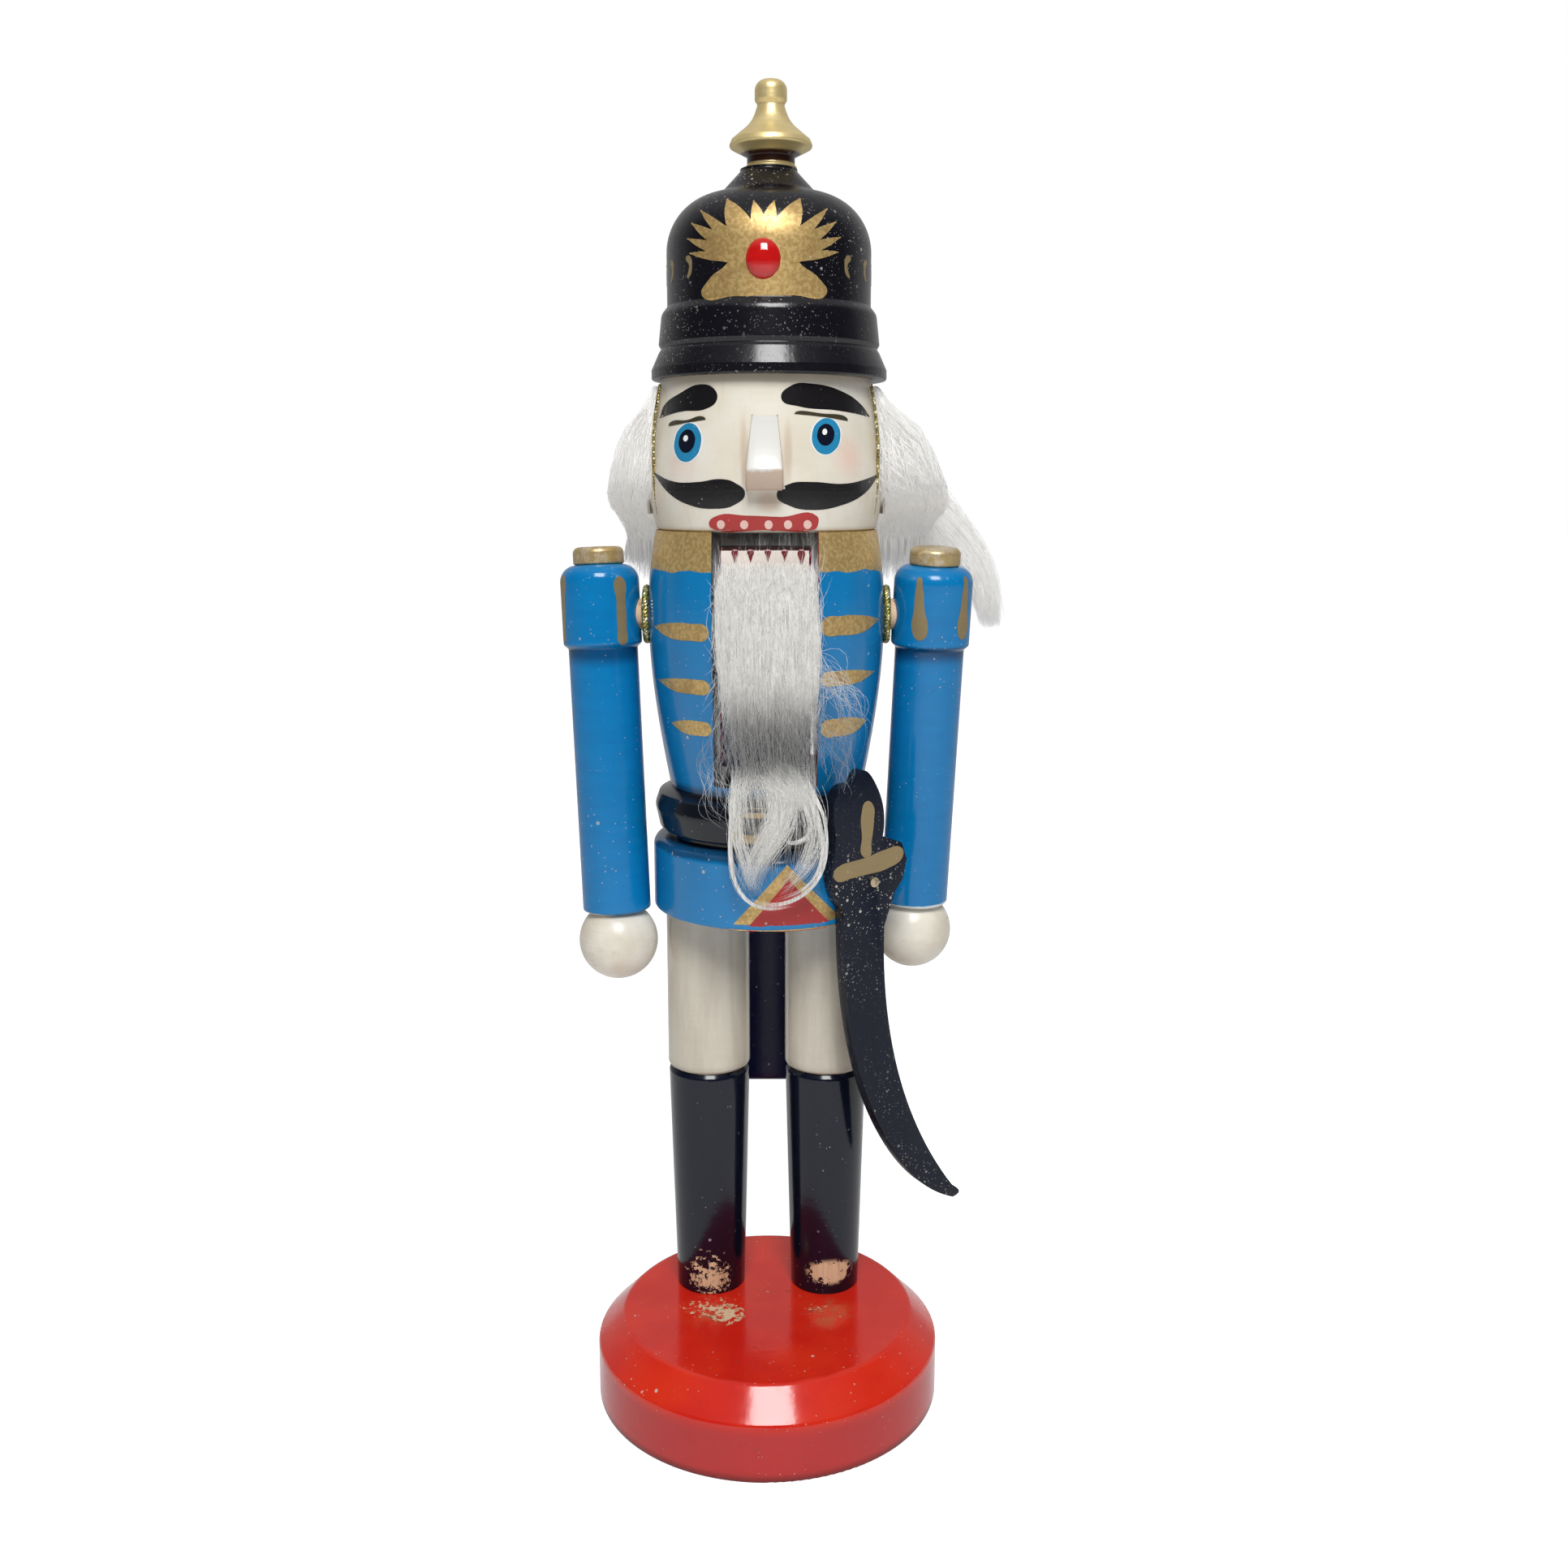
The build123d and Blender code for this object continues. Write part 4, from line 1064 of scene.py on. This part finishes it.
# The plush's woven backing, a strip round the head under the fibres.
bpy.ops.object.select_all(action="DESELECT")
bpy.ops.mesh.primitive_circle_add(vertices=120, radius=22.75 * mm, fill_type="NOTHING",
                                  location=(0, axis_y, neck + 3 * mm))
backing = bpy.context.object
backing.name = "hair_backing"
bpy.ops.object.mode_set(mode="EDIT")
for rise, scale in ((12.0, 0.985), (8.0, 0.955), (3.3, 0.96)):
    bpy.ops.mesh.extrude_region_move(TRANSFORM_OT_translate={"value": (0, 0, rise * mm)})
    bpy.ops.transform.resize(value=(scale, scale, 1), center_override=(0, axis_y, 0))
bpy.ops.mesh.select_all(action="SELECT")
bpy.ops.mesh.bisect(plane_co=(0, axis_y - 1.0 * mm, 0), plane_no=(0, 1, 0), clear_inner=True)
bpy.ops.object.mode_set(mode="OBJECT")
bpy.ops.object.transform_apply(location=True, rotation=True, scale=True)
wall = backing.modifiers.new("weave_depth", "SOLIDIFY")
wall.thickness = 0.45 * mm
wall.offset = 1
bpy.ops.object.modifier_apply(modifier=wall.name)
bpy.ops.object.mode_set(mode="EDIT")
bpy.ops.mesh.select_all(action="SELECT")
bpy.ops.mesh.normals_make_consistent(inside=False)
bpy.ops.object.mode_set(mode="OBJECT")
bpy.ops.object.shade_smooth_by_angle(angle=math.radians(40))
backing_weave = painted("backing_weave", (0.62, 0.60, 0.56), roughness=0.85, ripple=0.8,
                        brush=(1500.0, 1500.0), mottle=0.2, dusty=0.0, grime=0.15)
settle(backing, backing_weave, "figure", "fur")


# Beard: the same plush glued to the jaw's face, falling over the belt, its lower
# end thinned to wisps that cross and loop in front of the skirt.
coat_radius = 22.75


def before_coat(paths, clearance=0.5):
    """Keeps fibres in front of the jacket below the jaw."""
    x, y, z = paths[..., 0], paths[..., 1], paths[..., 2]
    coat = axis_mm - np.sqrt(np.maximum(coat_radius ** 2 - x ** 2, 0)) - clearance
    free = np.clip((z - 137) / 10, 0, 1) * (np.abs(x) < 9)
    paths[..., 1] = np.minimum(y, coat + free * 2.4)
    return paths


# The beard shines with a painted glow by emission, and is painted darker as shade from 131 to 152 mm high.
beard_white = plush("beard_white", (0.96, 0.95, 0.92), (0.50, 0.49, 0.46), 0.26,
                    thin=(131.0, 136.0, 138.0, 152.0))
main = [(0.2, -11.5, 168.0), (0.2, -12.3, 162), (0.4, -12.9, 155), (0.8, -13.4, 147), (1.0, -14.2, 139),
        (1.4, -15.0, 132), (2.2, -15.2, 125), (2.8, -15.0, 117), (2.6, -14.8, 109)]
wide = (8.6, 9.3, 9.5, 9.2, 8.4, 7.6, 7.2, 7.0, 5.0)
deep = (0.3, 0.9, 1.3, 1.5, 1.5, 1.4, 1.2, 1.0, 0.8)
fall = before_coat(strands(main, 4500, 8, wide, deep, 0.35, (0.0, 0.16), (0.30, 0.56), 51, curl=3.0))
lower = before_coat(strands(main, 480, 14, wide, deep, 1.0, (0.05, 0.50), (0.66, 1.0), 52, curl=1.5))
rng = np.random.default_rng(53)
fuzz = []
for _ in range(900):
    up, lean = rng.uniform(133, 168), rng.normal(0, 0.35)
    middle = np.array((0.6 + rng.uniform(-9.6, 9.6),
                       np.interp(up, (133, 147, 168), (-16.6, -15.2, -12.8)), up))
    arm = rng.uniform(2.0, 5.0) * np.array((math.sin(lean), rng.normal(0, 0.06), math.cos(lean)))
    bow = rng.normal(0, 0.5)
    along = np.linspace(-1, 1, 6)[:, None]
    fuzz.append(middle + along * arm + (1 - along ** 2) * np.array((bow, -0.1, 0)))
fuzz = before_coat(np.array(fuzz))
tufts = []
for number, (guide, count, width, wander) in enumerate((
        ([(0.5, -15.2, 134), (2.4, -16.0, 129.5), (3.2, -16.6, 125), (2.6, -16.4, 121), (0.3, -15.8, 117),
          (-2.0, -15.4, 112.8), (-3.1, -15.0, 107.5)], 270, (5.0, 3.6, 2.8, 2.5, 2.3, 2.0, 1.8), 0.8),
        ([(1.0, -16.4, 131.5), (3.2, -16.8, 129), (5.4, -16.8, 126.5), (6.6, -16.4, 123.5)],
         300, (3.0, 3.0, 2.2, 1.0), 0.5),
        ([(5.4, -15.8, 133), (7.7, -16.0, 127.7), (10.0, -15.8, 124.7), (11.2, -15.4, 121),
          (11.5, -15.0, 115.2), (10.6, -15.0, 111.6), (8.3, -14.9, 108), (4.9, -14.9, 105.9),
          (0.3, -14.9, 104.9), (-3.4, -14.9, 106.4)],
         75, (1.4, 0.6, 0.28, 0.25, 0.25, 0.25, 0.28, 0.32, 0.35, 0.5), 0.10),
        ([(4.0, -15.8, 132), (7.0, -16.0, 127), (9.4, -15.8, 123), (10.6, -15.4, 118), (10.6, -15.0, 114),
          (9.2, -15.0, 110.2), (6.0, -14.9, 107.4), (1.5, -14.9, 106.2)],
         45, (1.4, 0.9, 0.5, 0.4, 0.4, 0.4, 0.5, 0.7), 0.22),
        ([(-4.6, -15.0, 133), (-5.4, -15.2, 127.7), (-6.3, -15.2, 121.7), (-6.6, -15.0, 114),
          (-5.7, -14.9, 109.2), (-3.4, -14.9, 105.8), (0.3, -14.9, 104.3), (5.4, -14.9, 105.5)],
         75, (1.6, 0.8, 0.4, 0.3, 0.3, 0.3, 0.3, 0.4), 0.14),
        ([(-3.0, -15.4, 133), (-5.2, -15.6, 126), (-5.4, -15.2, 119), (-3.5, -15.2, 112), (-1.0, -15.0, 106.5)],
         90, (2.0, 1.4, 1.2, 1.2, 1.2), 0.6),
        ([(5.0, -15.6, 132), (8.0, -15.8, 125), (9.3, -15.4, 118), (7.0, -15.0, 112), (2.0, -15.0, 107.5)],
         80, (1.8, 1.6, 1.6, 1.4, 1.2), 0.8),
        ([(4.0, -16.2, 128), (8.2, -16.2, 123), (8.0, -15.9, 118.5), (4.5, -15.6, 117), (2.5, -15.6, 120)],
         30, (0.8, 0.3, 0.3, 0.3, 0.3), 0.2))):
    tufts.append(before_coat(strands(guide, count, 18, width, [0.6 * part for part in width], wander,
                                     (0.0, 0.20), (0.75, 1.0), 60 + number)))
stray = []
for number, guide in enumerate((
        [(7.5, -14, 152), (11.5, -14, 149), (14.5, -13, 143), (15.5, -12.5, 136), (13.0, -13, 130)],
        [(8.0, -14, 145), (12.5, -13.8, 146), (16.5, -12.5, 143), (17.0, -12.0, 138)],
        [(8.0, -14, 140), (12.0, -13.8, 137), (14.0, -13.3, 131), (12.5, -13.5, 125)],
        [(-8.0, -14, 137), (-10.5, -13.6, 131), (-9.0, -13.6, 124), (-5.0, -14, 119)])):
    stray.append(before_coat(strands(guide, 24, 18, [2.6] * len(guide), [0.6] * len(guide), 1.3, (0, 0.3),
                                     (0.6, 1), 80 + number, curl=1.6)))
for number, (name, paths, thick) in enumerate((
        ("beard", fall, 0.095), ("beard_lower", lower, 0.06), ("beard_wisps", np.concatenate(tufts), 0.065),
        ("beard_fuzz", fuzz, 0.06), ("beard_strays", np.concatenate(stray), 0.05))):
    piece = fibres(name, paths, thick, beard_white, 90 + number)
    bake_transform(piece)
    if number == 0:
        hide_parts("beard")


# Fixings: beech dowels through the glued joints and two drawn steel pins, all
# but their ends hidden in the wood.
raw, shader, place = blank("raw_beech")
wood = use(beech, place)
give(shader, {"Base Color": wood["Color"], "Roughness": 0.7,
              "Normal": bumped(wood["Height"], 0.4, 0.1)})
for name in ("foot_dowels", "hip_dowels", "neck_dowels", "hat_dowel", "left_shoulder_dowel",
             "right_shoulder_dowel"):
    finish(name, raw)
finish("jaw_pin", metal("pin_steel", (0.55, 0.55, 0.56), 0.22))
